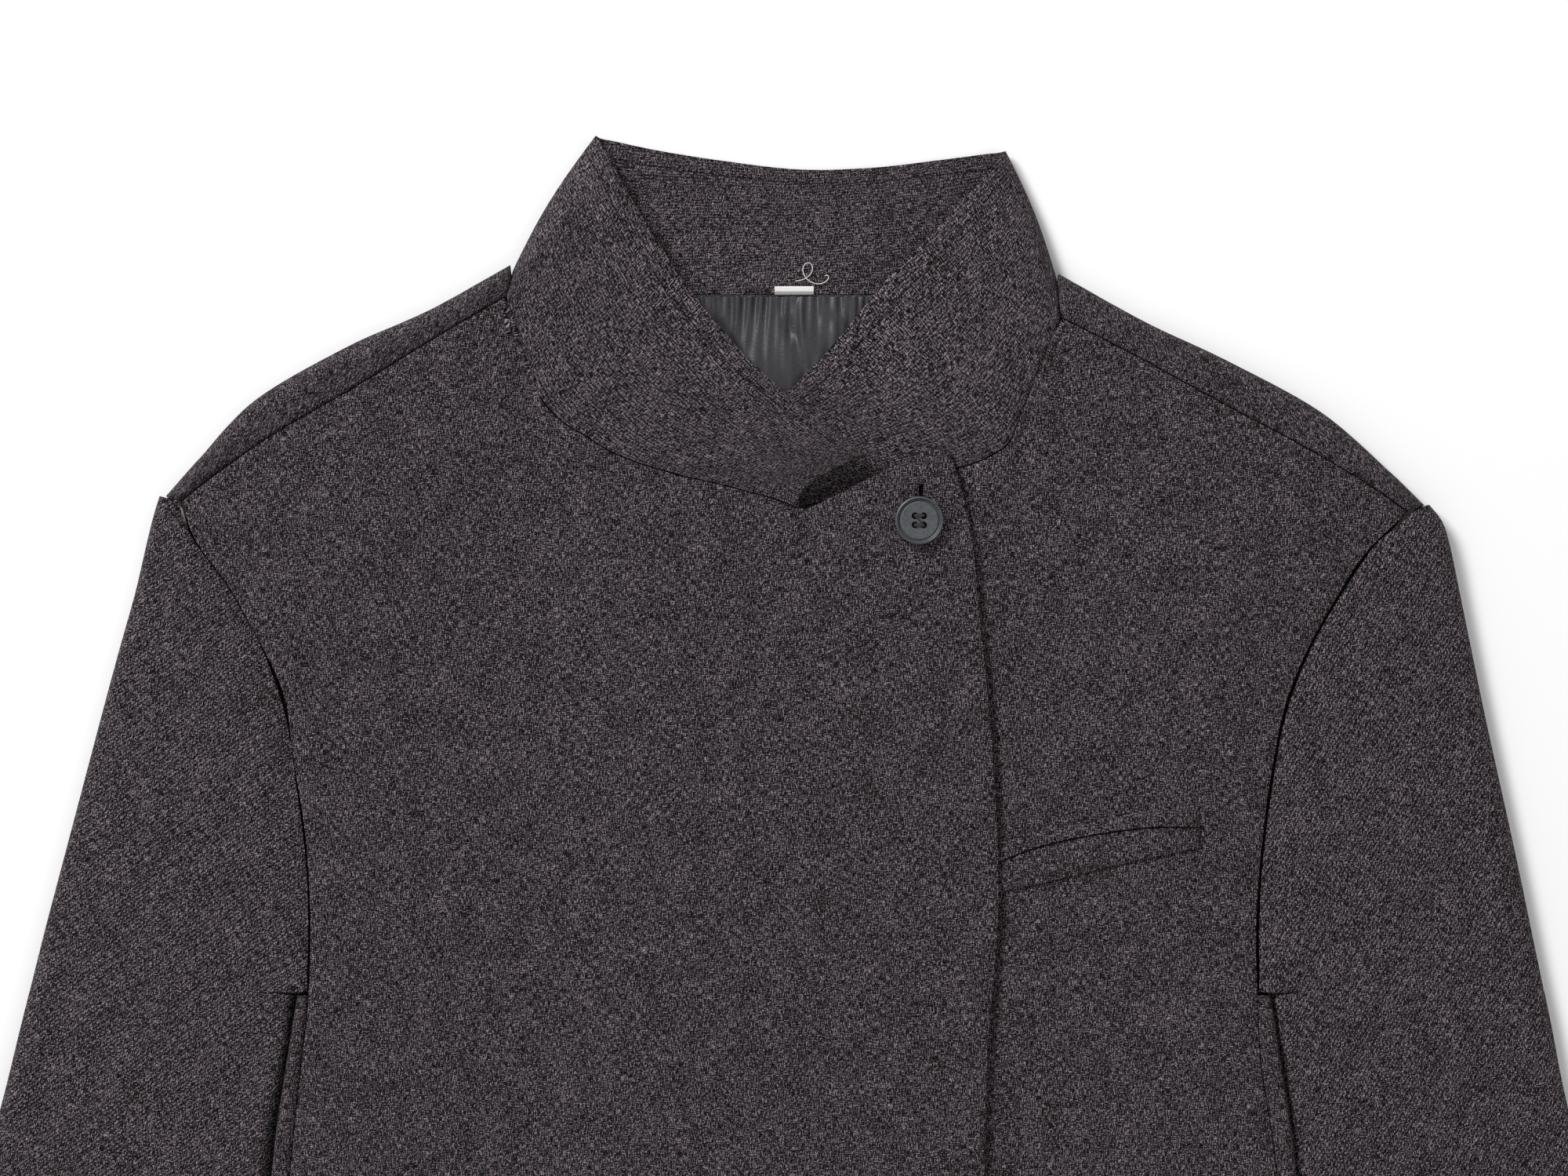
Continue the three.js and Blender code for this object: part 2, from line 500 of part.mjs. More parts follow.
function backGrid() {
  const tops = (side) => [
    ...SHOULDER[side].map((row, at) => spread(shoulderPath(side, at), WRAP_STEPS)),
    ...BACK_NECK.map((row) => spread(neckPath(side, row), WRAP_STEPS)),
  ];
  const wraps = [...tops(RIGHT), ...tops(LEFT).reverse().slice(1)];
  const feet = wraps.map((wrap) => wrap[WRAP_STEPS - 1]);
  const firstFoot = feet[0];
  const lastFoot = feet[feet.length - 1];
  const columns = wraps.map((wrap, j) => {
    const foot = feet[j];
    const even = j / (wraps.length - 1);
    const sewn = (foot.x - firstFoot.x) / (lastFoot.x - firstFoot.x);
    const borderTop = lerp(firstFoot.y, lastFoot.y, even);
    const down = backRows().map((rowY) => {
      const share = (borderTop - rowY) / (borderTop - HEM_Y);
      const from = RIGHT * backBorderX(RIGHT, rowY);
      const to = LEFT * backBorderX(LEFT, rowY);
      const across = lerp(sewn, even, smoothstep(share, 0, EVEN_FROM));
      return new THREE.Vector3(lerp(from, to, across), lerp(foot.y, HEM_Y, share), 0);
    });
    return [...wrap, ...down];
  });
  return columns[0].map((unused, i) => columns.map((column) => column[i]));
}

addPiece("back", clothWall(facing(backGrid(), true), CLOTH), wool);

// Side panels, a row for each section: seam with the front on top, side fold, underside, back seam

const SIDE_FOLD_STEPS = 6;
const MIN_TOP_STRIP = 0.4; // the least width of panel on top, between its seam and the fold
const LIFT_RANGE = { from: 1, to: 16 }; // a sleeve edge this far outside the fold lifts all or nothing
const FOOT = { pastSleeve: 1.5, insideFold: 14, length: 7 }; // where the underside comes down again
const FOOT_CURVE = [
  { along: 0.6, height: 0.6 },
  { along: 0.2, height: 0.12 },
];

function sidePanelGrid(side) {
  return [SIDE_TOP_Y, ...sidePanelRows(side)].map((y) => {
    const fold = read(BODY_SIDE, "y", "fold", y);
    const backSeam = read(BODY_SIDE, "y", "backSeam", y) + SEAM / 2;
    const seamX = read(FRONT_SIDE[side], "y", "x", y) + SEAM;
    const top = read(FRONT_SIDE[side], "y", "top", y);
    const sleeveEdge = read(SLEEVE[side].slice(FIRST_TUCKED_ROW), "inY", "inX", y);
    const lift = SIDE_LIFT * (1 - smoothstep(sleeveEdge, fold + LIFT_RANGE.from, fold + LIFT_RANGE.to));
    const middle = (top + lift) / 2;
    const half = (top - lift) / 2;
    const section = [[seamX, top]];
    const reach = Math.min(half, fold - seamX - MIN_TOP_STRIP);
    for (let k = 0; k <= SIDE_FOLD_STEPS; k++) {
      const angle = Math.PI / 2 - (Math.PI * k) / SIDE_FOLD_STEPS;
      section.push([fold - reach * (1 - Math.cos(angle)), middle + half * Math.sin(angle)]);
    }
    const foot = Math.min(sleeveEdge - FOOT.pastSleeve, fold - FOOT.insideFold);
    const flatTo = Math.max(backSeam + 1, foot - FOOT.length);
    section.push([lerp(foot, fold - reach, 1 / 3), lift]);
    section.push([foot, lift]);
    for (const { along, height } of FOOT_CURVE) section.push([lerp(flatTo, foot, along), lift * height]);
    section.push([flatTo, 0]);
    section.push([backSeam, 0]);
    return section.map(([x, z]) => new THREE.Vector3(side * x, y, z));
  });
}

for (const [name, side] of [["side_panel_right", RIGHT], ["side_panel_left", LEFT]])
  addPiece(name, clothWall(facing(sidePanelGrid(side), side === RIGHT), CLOTH), wool);

// Sleeves, each a top sleeve that wraps the outer fold and an under sleeve that lies beneath it

const FOLD_STEPS = 5;
const OUTER_FOLD_REACH = 5.5;
const OUTER_FOLD_SHARE = 0.3; // and the largest share of the sleeve's width that it may take
const HINDARM_SEAM = 20; // how far in from the outer fold the seam on the underside runs
const HINDARM_SHARE = 0.45; // and the largest share of the sleeve's width that this may be
const CREVICE = { from: 0.8, topWidth: 2, width: 4.6, growth: 70 }; // dark gap beside the body's fold
const ARMHOLE_RISE = 0.14; // share of the width over which the sleeve rises from the armhole
const FOOT_BLEND = 12; // the armhole's foot sinks to the tucked sleeve over this height
const FOOT_TOP = 7.8; // height of the sleeve's edge at that foot
const CLEAR = { from: 1, to: 9, share: 0.8 }; // a sleeve clear of the body lies higher at its inner fold
const TUCKED_SEAM = 9; // the inseam lies this far inside the body's fold
const MIN_SEAM_INSET = 7; // and at least this far from the sleeve's inner fold
const MIN_RISE = 2; // the least width over which a tucked sleeve rises
const FOOT_STRIP = 1.2; // the least width of tucked sleeve between its seam and that rise
const DOME = 1.2; // how far the middle of a sleeve stands above its table height

function sleeveSections(side) {
  const table = SLEEVE[side];
  return stationsByRow(table).map((at) => {
    const outer = new THREE.Vector2(readRow(table, "outX", at), readRow(table, "outY", at));
    const inner = new THREE.Vector2(readRow(table, "inX", at), readRow(table, "inY", at));
    const top = readRow(table, "top", at);
    const tucked = at >= FIRST_TUCKED_ROW;
    return { at, outer, inner, top, tucked, width: outer.distanceTo(inner) };
  });
}

// Row numbers of a table, with one halfway between each pair that lies far apart.
function stationsByRow(table) {
  const list = [];
  table.forEach((row, index) => {
    list.push(index);
    const next = table[index + 1];
    if (next && row.outY - next.outY > ROW_SPACING) list.push(index + 0.5);
  });
  return list;
}

// How high the sleeve's upper side lies at a share of its width, and where its seams are.
function sleeveProfile(side, section) {
  const { outer, inner, top, tucked, width } = section;
  const share = (x) => (x - inner.x) / (outer.x - inner.x);
  const gapY = lerp(inner.y, outer.y, share(read(BODY_SIDE, "y", "fold", inner.y)));
  const bodyFold = read(BODY_SIDE, "y", "fold", gapY);
  if (!tucked) {
    const armholeTop = read(FRONT_SIDE[side], "y", "top", inner.y);
    const foot = smoothstep(inner.y, SIDE_TOP_Y, SIDE_TOP_Y + FOOT_BLEND);
    const startTop = lerp(FOOT_TOP, armholeTop, foot);
    return { start: 0, startTop, riseFrom: 0, riseTo: ARMHOLE_RISE, top };
  }
  const clear = smoothstep(inner.x, bodyFold + CLEAR.from, bodyFold + CLEAR.to);
  const startTop = lerp(TUCK_HEIGHT, top * CLEAR.share, clear);
  const start = Math.max(share(bodyFold - TUCKED_SEAM), MIN_SEAM_INSET / width);
  const riseFrom = Math.max(share(bodyFold + CREVICE.from), start);
  const gapWidth = lerp(CREVICE.topWidth, CREVICE.width, smoothstep(SIDE_TOP_Y - gapY, 0, CREVICE.growth));
  return {
    start,
    startTop,
    riseFrom,
    riseTo: Math.max(share(bodyFold + gapWidth), riseFrom + MIN_RISE / width),
    top,
  };
}

function sleeveTopHeight(profile, share) {
  const rise = smoothstep(share, profile.riseFrom, profile.riseTo);
  const dome = profile.top + DOME * Math.sin(Math.PI * THREE.MathUtils.clamp(share, 0, 1));
  return lerp(profile.startTop, dome, rise);
}

const SLEEVE_TOP_SHARES = [0, 0.03, 0.07, 0.115, 0.165, 0.25, 0.4, 0.6, 0.8, 1];
const PAST_RISE_SHARES = [0.06, 0.18, 0.4, 0.7, 1]; // columns of a tucked sleeve between its rise and the fold

// Where the columns of the upper side stand, as shares of the section's width.
function upperShares(section, profile, from, to) {
  if (!section.tucked) return SLEEVE_TOP_SHARES.map((step) => lerp(from, to, step));
  const { riseFrom, riseTo } = profile;
  const foot = Math.max(riseFrom, from + FOOT_STRIP / section.width);
  const head = Math.max(riseTo, foot + MIN_RISE / section.width);
  const rise = [from, (from + foot) / 2, foot, (foot + head) / 2, head];
  return [...rise, ...PAST_RISE_SHARES.map((step) => lerp(head, to, step))];
}

function topSleeveGrid(side) {
  return sleeveSections(side).map((section) => {
    const profile = sleeveProfile(side, section);
    const { outer, inner, width } = section;
    const reach = Math.min(OUTER_FOLD_REACH, width * OUTER_FOLD_SHARE);
    const lastShare = 1 - reach / width;
    const place = (share, z) => {
      const point = inner.clone().lerp(outer, share);
      return new THREE.Vector3(side * point.x, point.y, z);
    };
    const armholeGap = section.tucked ? SEAM / 2 / width : (2 * SEAM) / width;
    const shares = upperShares(section, profile, profile.start + armholeGap, lastShare);
    const points = shares.map((share) => place(share, sleeveTopHeight(profile, share)));
    const edgeTop = sleeveTopHeight(profile, lastShare);
    for (let k = 1; k <= FOLD_STEPS; k++) {
      const angle = Math.PI / 2 - (Math.PI * k) / FOLD_STEPS;
      points.push(place(lastShare + (reach * Math.cos(angle)) / width, (edgeTop / 2) * (1 + Math.sin(angle))));
    }
    const seamShare = 1 - hindarmInset(width) / width;
    points.push(place(lerp(lastShare, seamShare, 0.5), 0));
    points.push(place(seamShare + SEAM / 2 / width, 0));
    return points;
  });
}

function hindarmInset(width) {
  return Math.min(HINDARM_SEAM, width * HINDARM_SHARE);
}

const UNDER_WRAP_STEPS = 6;
const ARMHOLE_STRIP = 6; // the narrow columns beside the back armhole are this wide together
const INNER_FOLD_REACH = 4.5; // how far the inner fold rounds off, seen from above
const INNER_FOLD_SHARE = 0.55; // and the largest share of the fold's height that this may be
const STRIP_SHARE = 0.8; // the strip beside the armhole ends before this share of the underside
const UNDERSIDE_SHARES = [0, 0.3, 0.65];

// The under sleeve: from the hindarm seam along the underside to the back armhole or, below the
// armhole's foot, round the inner fold to the seam on the upper side.
function underSleeveGrid(side) {
  return sleeveSections(side).map((section) => {
    const profile = sleeveProfile(side, section);
    const { outer, inner, width, tucked } = section;
    const seamShare = 1 - (hindarmInset(width) + SEAM / 2) / width;
    const place = (share, z) => {
      const point = inner.clone().lerp(outer, share);
      return new THREE.Vector3(side * point.x, point.y, z);
    };
    const armholeShare = (ARMHOLE_TWIST + SEAM) / width;
    const foldReach = Math.min(profile.startTop * INNER_FOLD_SHARE, INNER_FOLD_REACH) / width;
    const stripEnd = lerp(armholeShare, seamShare, STRIP_SHARE);
    const beside = Math.min(armholeShare + ARMHOLE_STRIP / width, stripEnd);
    const turn = tucked ? foldReach : beside;
    const points = UNDERSIDE_SHARES.map((step) => place(lerp(seamShare, turn, step), 0));
    const half = profile.startTop / 2;
    for (let k = 0; k <= UNDER_WRAP_STEPS; k++) {
      if (!tucked) {
        points.push(place(lerp(turn, armholeShare, k / UNDER_WRAP_STEPS), 0));
        continue;
      }
      if (k === UNDER_WRAP_STEPS) {
        points.push(place(profile.start - SEAM / 2 / width, profile.startTop));
        continue;
      }
      const angle = -Math.PI / 2 + (Math.PI * k) / (UNDER_WRAP_STEPS - 1);
      points.push(place(foldReach * (1 - Math.cos(angle)), half * (1 + Math.sin(angle))));
    }
    return points;
  });
}

for (const [name, side] of [["right", RIGHT], ["left", LEFT]]) {
  addPiece("sleeve_" + name + "_top", clothWall(facing(topSleeveGrid(side), side === RIGHT), CLOTH), sleeveWool);
  addPiece("sleeve_" + name + "_under", clothWall(facing(underSleeveGrid(side), side === RIGHT), CLOTH), sleeveWool);
}

// Collar, one band: its outside shows on the fronts and its inside at the back of the neck

const COLLAR_STEPS = [0, 0.22, 0.48, 0.74, 1];
const COLLAR_BULGE = 1.1;

function collarRibs() {
  const front = (side) => NECK[side].map((rib) => ({ ...rib, ...seamPoint(rib, NECK_GAP), bulge: COLLAR_BULGE }));
  const back = COLLAR_BACK.map((rib) => ({ ...rib, bulge: 0 }));
  return [...front(RIGHT).reverse(), ...back, ...front(LEFT)];
}

function collarGrid() {
  const ribs = collarRibs();
  return COLLAR_STEPS.map((share) =>
    ribs.map(
      (rib) =>
        new THREE.Vector3(
          lerp(rib.x, rib.edgeX, share) + Math.sign(rib.x) * (rib.bow ?? 0) * Math.sin(Math.PI * share),
          lerp(rib.y, rib.edgeY, share),
          lerp(rib.top, rib.edgeTop, share) + rib.bulge * Math.sin(Math.PI * share),
        ),
    ),
  );
}

addPiece("collar", clothWall(collarGrid(), COLLAR_THICKNESS), wool);

// Lining in the neck opening, gathered into the neck seam, with a pleat at the centre back

const LINING = { halfWidth: 58, narrowing: 0.25, topY: 324.2, bottomY: 262, thickness: 1, low: 3.3, columns: 36 };
const LINING_SHARES = [0, 0.1, 0.24, 0.42, 0.68, 1];
const GATHERS = { height: 1.2, decay: 3.2, pitch: 11.5, phase: 0.6 };
const PLEAT = { x: 4.5, slant: 8, halfWidth: 3.5, height: 0.9 };

function liningGrid() {
  return LINING_SHARES.map((share) =>
    Array.from({ length: LINING.columns + 1 }, (unused, j) => {
      const halfWidth = LINING.halfWidth * (1 - LINING.narrowing * share);
      const x = lerp(-halfWidth, halfWidth, j / LINING.columns);
      const height = GATHERS.height * Math.exp(-share * GATHERS.decay);
      const gathers = height * (1 + Math.sin((x / GATHERS.pitch) * 2 * Math.PI + GATHERS.phase));
      const offPleat = (x - PLEAT.x - PLEAT.slant * share) / PLEAT.halfWidth;
      const pleat = PLEAT.height * Math.exp(-(offPleat ** 2)) * (1 - share);
      return new THREE.Vector3(x, lerp(LINING.topY, LINING.bottomY, share), LINING.low + gathers + pleat);
    }),
  );
}

addPiece("lining_back_neck", clothWall(liningGrid(), LINING.thickness, { upright: true }), satin);

// A bare white label end that stands out of the neck seam

const LABEL = { x: 3.9, width: 15, bottomY: 325.5, topY: 328.3, bottom: COLLAR_THICKNESS + SEAM, thickness: 0.8 };
const labelShape = new THREE.BoxGeometry(LABEL.width, LABEL.topY - LABEL.bottomY, LABEL.thickness);
labelShape.translate(LABEL.x, (LABEL.topY + LABEL.bottomY) / 2, LABEL.bottom + LABEL.thickness / 2);
addPiece("neck_label", labelShape, whiteTape);

// Breast pocket on the left front: two lips along the slanted slit, and the lines that bound them

const POCKET = { opening: 1.2, thickness: 1, crown: 0.15, columns: 12 };
const POCKET_LINES = [
  { x: 56, upper: 106.4, slit: 100.2, lower: 89.6 },
  { x: 81, upper: 114.4, slit: 107.0, lower: 95.3 },
  { x: 97.5, upper: 119.4, slit: 113.4, lower: 99.2 },
  { x: 117, upper: 123.0, slit: 117.7, lower: 103.9 },
  { x: 140, upper: 127.7, slit: 120.9, lower: 109.2 },
  { x: 158.6, upper: 129.6, slit: 121.0, lower: 113.0 },
];

const ON_EDGE = 1e-9; // a point this near a triangle's edge counts as inside it

// A point that lies on the under front, at a place seen from above, moved out by a height.
function onLeftFront(x, y, out) {
  for (let i = 0; i < leftFront.length - 1; i++)
    for (let j = 0; j < leftFront[i].length - 1; j++) {
      const corners = [leftFront[i][j], leftFront[i][j + 1], leftFront[i + 1][j + 1], leftFront[i + 1][j]];
      for (const [a, b, c] of [[corners[0], corners[1], corners[2]], [corners[0], corners[2], corners[3]]]) {
        const area = (b.x - a.x) * (c.y - a.y) - (c.x - a.x) * (b.y - a.y);
        const s = ((x - a.x) * (c.y - a.y) - (c.x - a.x) * (y - a.y)) / area;
        const t = ((b.x - a.x) * (y - a.y) - (x - a.x) * (b.y - a.y)) / area;
        if (s >= -ON_EDGE && t >= -ON_EDGE && s + t <= 1 + ON_EDGE)
          return new THREE.Vector3(x, y, a.z + s * (b.z - a.z) + t * (c.z - a.z) + out);
      }
    }
  throw new Error("no front at " + x + ", " + y);
}

// A lip of the pocket, between two of its lines, each moved up by an offset.
function lipGrid(highLine, highOffset, lowLine, lowOffset) {
  const from = POCKET_LINES[0].x;
  const to = POCKET_LINES[POCKET_LINES.length - 1].x;
  return [0, 0.5, 1].map((share) =>
    Array.from({ length: POCKET.columns + 1 }, (unused, j) => {
      const x = lerp(from, to, j / POCKET.columns);
      const high = read(POCKET_LINES, "x", highLine, x) + highOffset;
      const low = read(POCKET_LINES, "x", lowLine, x) + lowOffset;
      const crown = POCKET.crown * Math.sin(Math.PI * share);
      return onLeftFront(x, lerp(high, low, share), SEAM + POCKET.thickness + crown);
    }),
  );
}

const halfOpening = POCKET.opening / 2;
const upperLip = lipGrid("upper", 0, "slit", halfOpening);
const lowerLip = lipGrid("slit", -halfOpening, "lower", 0);
addPiece("pocket_jet_upper", clothWall(upperLip, POCKET.thickness, { upright: true }), wool);
addPiece("pocket_welt_lower", clothWall(lowerLip, POCKET.thickness, { upright: true }), wool);

// Button with four holes and a raised rim, and the thread that holds it through the buttonhole

const BUTTON_Z = 12.6; // underside of the button
const BUTTON_STEPS = 32;
const RIM = { chamfer: 1.2, shoulder: 2.4, rounding: 0.6, crest: 1.6, foot: 2.3 };
const DRILL = { length: 12, steps: 12 };
const buttonProfile = [
  [0, 0],
  [BUTTON.radius - RIM.chamfer, 0],
  [BUTTON.radius, RIM.chamfer],
  [BUTTON.radius, RIM.shoulder],
  [BUTTON.radius - RIM.rounding, BUTTON.thickness],
  [BUTTON.radius - RIM.crest, BUTTON.thickness],
  [BUTTON.radius - RIM.foot, BUTTON.face],
  [0, BUTTON.face],
].map(([radius, height]) => new THREE.Vector2(radius, height));
const buttonBlank = new THREE.LatheGeometry(buttonProfile, BUTTON_STEPS).rotateX(Math.PI / 2);
buttonBlank.translate(BUTTON.x, BUTTON.y, BUTTON_Z);
let buttonSolid = toSolid(buttonBlank);
for (const acrossSide of [-1, 1])
  for (const upSide of [-1, 1]) {
    const hole = new THREE.CylinderGeometry(BUTTON.holeRadius, BUTTON.holeRadius, DRILL.length, DRILL.steps);
    const half = BUTTON.holeSpacing / 2;
    hole.rotateX(Math.PI / 2).translate(BUTTON.x + acrossSide * half, BUTTON.y + upSide * half, BUTTON_Z);
    buttonSolid = buttonSolid.subtract(toSolid(hole));
  }
addPiece("button", toGeometry(buttonSolid), slateButton);

const SHANK = { radius: 0.6, from: 0.3, underButton: 0.3, steps: 10 };
const shankFoot = onLeftFront(BUTTON.x, BUTTON.y, SHANK.from).z;
const shankTop = BUTTON_Z - SHANK.underButton;
const shank = new THREE.CylinderGeometry(SHANK.radius, SHANK.radius, shankTop - shankFoot, SHANK.steps);
shank.rotateX(Math.PI / 2).translate(BUTTONHOLE.x, BUTTON.y, (shankTop + shankFoot) / 2);
addPiece("button_thread", shank, darkThread);

export default jacket;
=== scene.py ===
"""A mao jacket laid flat on its back, dressed in melange wool on its fixed frame."""

import logging
import math
from dataclasses import dataclass, field
from enum import Enum
from typing import Callable, Sequence

import bmesh
import bpy
import numpy as np
from mathutils import Euler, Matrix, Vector


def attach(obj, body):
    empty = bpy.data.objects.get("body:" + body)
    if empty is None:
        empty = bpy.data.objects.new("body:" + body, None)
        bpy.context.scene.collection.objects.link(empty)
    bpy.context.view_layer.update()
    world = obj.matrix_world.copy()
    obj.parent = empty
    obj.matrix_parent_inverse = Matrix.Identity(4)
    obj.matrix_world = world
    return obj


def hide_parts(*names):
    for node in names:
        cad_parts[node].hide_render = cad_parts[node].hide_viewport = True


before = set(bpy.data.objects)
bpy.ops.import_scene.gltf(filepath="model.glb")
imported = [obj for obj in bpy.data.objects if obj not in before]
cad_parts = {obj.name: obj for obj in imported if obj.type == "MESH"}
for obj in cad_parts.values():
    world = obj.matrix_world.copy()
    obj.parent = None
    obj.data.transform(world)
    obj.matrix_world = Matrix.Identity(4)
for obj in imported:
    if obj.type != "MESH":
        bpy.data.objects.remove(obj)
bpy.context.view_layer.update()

LOG = logging.getLogger("jacket")

# Driving sizes, in millimetres
MM = 0.001
CLOTH = 1.8
COLLAR_THICKNESS = 2.2
SEAM = 0.3
HEM_Y = -385.8
SHOWN_TO_Y = -20.0

# Body: its heights, the strip along the armhole, and where its columns are evenly spaced
CHEST_HEIGHT = 6.0
OVERLAP_STEP = 3.6
STEP_UP = (-95.0, -55.0)
NECK_DECAY = 62.0
SIDE_DECAY = 62.0
SIDE_TOP_Y = 56.5
BACK_SHELF_Y = 57.7
ARMHOLE_TWIST = 3.4
ARMHOLE_STRIP = 6.0
NECK_STRIP = 3.0
EVEN_FROM = 0.35

# Shoulder fold and side fold
FOLD_HEIGHT = 13.0
FOLD_REACH = 6.5
FOLD_SHARE = 0.75
SIDE_LIFT = 5.0

# Sleeve: its seams and folds, and the crevice where it dips under the body's side
FIRST_TUCKED_ROW = 10
TUCK_HEIGHT = 4.4
OUTER_FOLD_REACH = 5.5
OUTER_FOLD_SHARE = 0.3
INNER_FOLD_REACH = 4.5
INNER_FOLD_SHARE = 0.55
HINDARM_SEAM = 20.0
HINDARM_SHARE = 0.45
CREVICE_FROM = 0.8
CREVICE_TOP = 2.0
CREVICE = 4.6
CREVICE_GROWTH = 70.0
MIN_RISE = 2.0
RISE_STEPS = (0.08, 0.2)
FOOT_TOP = 9.6
FOOT_BLEND = 12.0
FOOT_RISE = 0.06
ARMHOLE_RISE = 0.14
DOME = 1.2

# Collar
NECK_GAP = 0.25
COLLAR_BULGE = 1.1

# Steps between the points of a panel, and the close ones along a border
FINE_STEP = 2.8
MEDIUM_STEP = 5.0
COARSE_STEP = 8.0
BORDER = 2.4
BORDER_SHARES = (0.0, 0.125, 0.7 / 2.4, 0.5, 0.75)

# How deep cloth dips along a seam or a turned edge, and how far in that reaches
SEAM_DIP = (0.8, 1.5)
SIDE_SEAM_DIP = (0.9, 1.7)
NECK_SEAM_DIP = (0.4, 1.5)
FRONT_EDGE_DIP = (0.7, 1.1)
COLLAR_EDGE_DIP = (0.8, 1.3)
HEM_DIP = (0.6, 1.2)
UNDERSIDE_SEAM_DIP = (0.3, 1.5)
UNDERSIDE_HEM_DIP = (0.3, 1.2)
POCKET_END_DIP = (0.5, 0.9)

Array = np.ndarray


class Side(Enum):
    """The wearer's side, with the sign of its X."""

    LEFT = 1
    RIGHT = -1


class Slot(Enum):
    """The record's material slots."""

    WOOL = "wool"
    LINING = "lining"
    LABEL = "label"
    BUTTON = "button"
    THREAD = "thread"


def smoothstep(value: Array, low: Array, high: Array) -> Array:
    """Return a soft step from 0 at low to 1 at high."""
    share = np.clip((value - low) / (high - low), 0.0, 1.0)
    return share * share * (3.0 - 2.0 * share)


def lerp(start: Array, end: Array, share: Array) -> Array:
    """Return the value at a share of the way from start to end."""
    return start + (end - start) * share


def smooth_curve(stations: Array, values: Array, at: Array) -> Array:
    """Read a smooth curve through a row of values.

    Args:
        stations: Where the values stand, rising or falling.
        values: The value at each station.
        at: Where the curve is read.

    Returns:
        The curve's value at each place, held level beyond its ends.
    """
    if stations[-1] < stations[0]:
        stations, values = stations[::-1], values[::-1]
    slopes = np.diff(values) / np.diff(stations)
    tangents = np.concatenate([slopes[:1], (slopes[:-1] + slopes[1:]) / 2, slopes[-1:]])
    held = np.clip(at, stations[0], stations[-1])
    left = np.clip(np.searchsorted(stations, held, side="right") - 1, 0, len(stations) - 2)
    span = stations[left + 1] - stations[left]
    share = (held - stations[left]) / span
    rise = share * share * (3.0 - 2.0 * share)
    level = values[left] + (values[left + 1] - values[left]) * rise
    return level + span * share * (1 - share) * ((1 - share) * tangents[left] - share * tangents[left + 1])


@dataclass(frozen=True)
class Table:
    """Rows of named sizes, read along smooth curves."""

    names: str
    rows: Sequence[Sequence[float]]

    def __len__(self) -> int:
        """Return the number of rows."""
        return len(self.rows)

    def column(self, name: str) -> Array:
        """Return one column."""
        return np.array([row[self.names.split().index(name)] for row in self.rows], float)

    def by_row(self, name: str, at: Array) -> Array:
        """Read a column at row numbers, which may lie between rows."""
        return smooth_curve(np.arange(len(self.rows), dtype=float), self.column(name), np.asarray(at, float))

    def by(self, key: str, name: str, at: Array) -> Array:
        """Read a column at values of another column."""
        return smooth_curve(self.column(key), self.column(name), np.asarray(at, float))

    def part(self, first: int) -> "Table":
        """Return the rows from a row number on."""
        return Table(self.names, self.rows[first:])


# Shoulder, from the sleeve head to the collar
SHOULDER = {
    Side.RIGHT: Table("seam_x seam_y fold_x fold_y top", (
        (230.4, 245.6, 236.8, 247.6, 11.5),
        (217.0, 256.0, 224.5, 261.5, 12.2),
        (195.0, 271.2, 202.5, 284.5, 12.8),
        (162.0, 290.4, 167.5, 304.8, 13.0),
        (132.0, 308.8, 136.0, 318.9, 13.0),
        (106.6, 323.6, 104.9, 336.2, 12.6),
    )),
    Side.LEFT: Table("seam_x seam_y fold_x fold_y top", (
        (238.2, 241.6, 245.2, 244.2, 11.5),
        (222.0, 252.8, 231.0, 258.0, 12.2),
        (197.0, 267.4, 205.5, 280.0, 12.8),
        (165.0, 284.4, 170.5, 299.2, 13.0),
        (135.0, 300.8, 138.8, 314.2, 13.0),
        (106.2, 315.6, 105.2, 332.8, 12.6),
    )),
}

# Side of each front, from the shoulder seam to the hem
FRONT_SIDE = {
    Side.RIGHT: Table("y x top", (
        (245.6, 230.4, 11.5), (231.0, 225.0, 11.2), (215.0, 213.4, 10.8), (196.0, 202.6, 10.4),
        (173.0, 191.7, 10.0), (148.0, 187.8, 9.8), (118.0, 183.2, 9.8), (88.0, 181.3, 10.0),
        (56.5, 181.9, 10.4), (30.0, 184.6, 10.4), (0.0, 187.8, 10.4), (-60.0, 192.4, 10.4),
        (-130.0, 196.6, 10.2), (-210.0, 202.2, 9.6), (-300.0, 206.8, 8.8), (-385.8, 211.0, 8.4),
    )),
    Side.LEFT: Table("y x top", (
        (241.6, 238.2, 11.5), (227.4, 223.5, 11.2), (205.0, 208.8, 10.8), (188.7, 200.0, 10.4),
        (169.5, 192.3, 10.0), (150.6, 188.0, 9.8), (121.0, 183.6, 9.8), (88.0, 180.8, 10.0),
        (56.5, 181.0, 10.4), (30.0, 182.4, 10.4), (0.0, 187.0, 10.4), (-60.0, 193.0, 10.4),
        (-130.0, 197.4, 10.2), (-210.0, 202.0, 9.6), (-300.0, 206.8, 8.8), (-385.8, 211.0, 8.4),
    )),
}

# Below the armhole: the side fold, and the seam between back and side panel
BODY_SIDE = Table("y fold back_seam", (
    (56.5, 186.4, 168.0), (44.0, 188.4, 157.0), (25.0, 191.4, 148.0), (0.0, 195.0, 141.0),
    (-60.0, 199.4, 137.0), (-130.0, 203.2, 137.0), (-210.0, 207.4, 139.0), (-300.0, 212.0, 143.0),
    (-385.8, 216.4, 147.0),
))

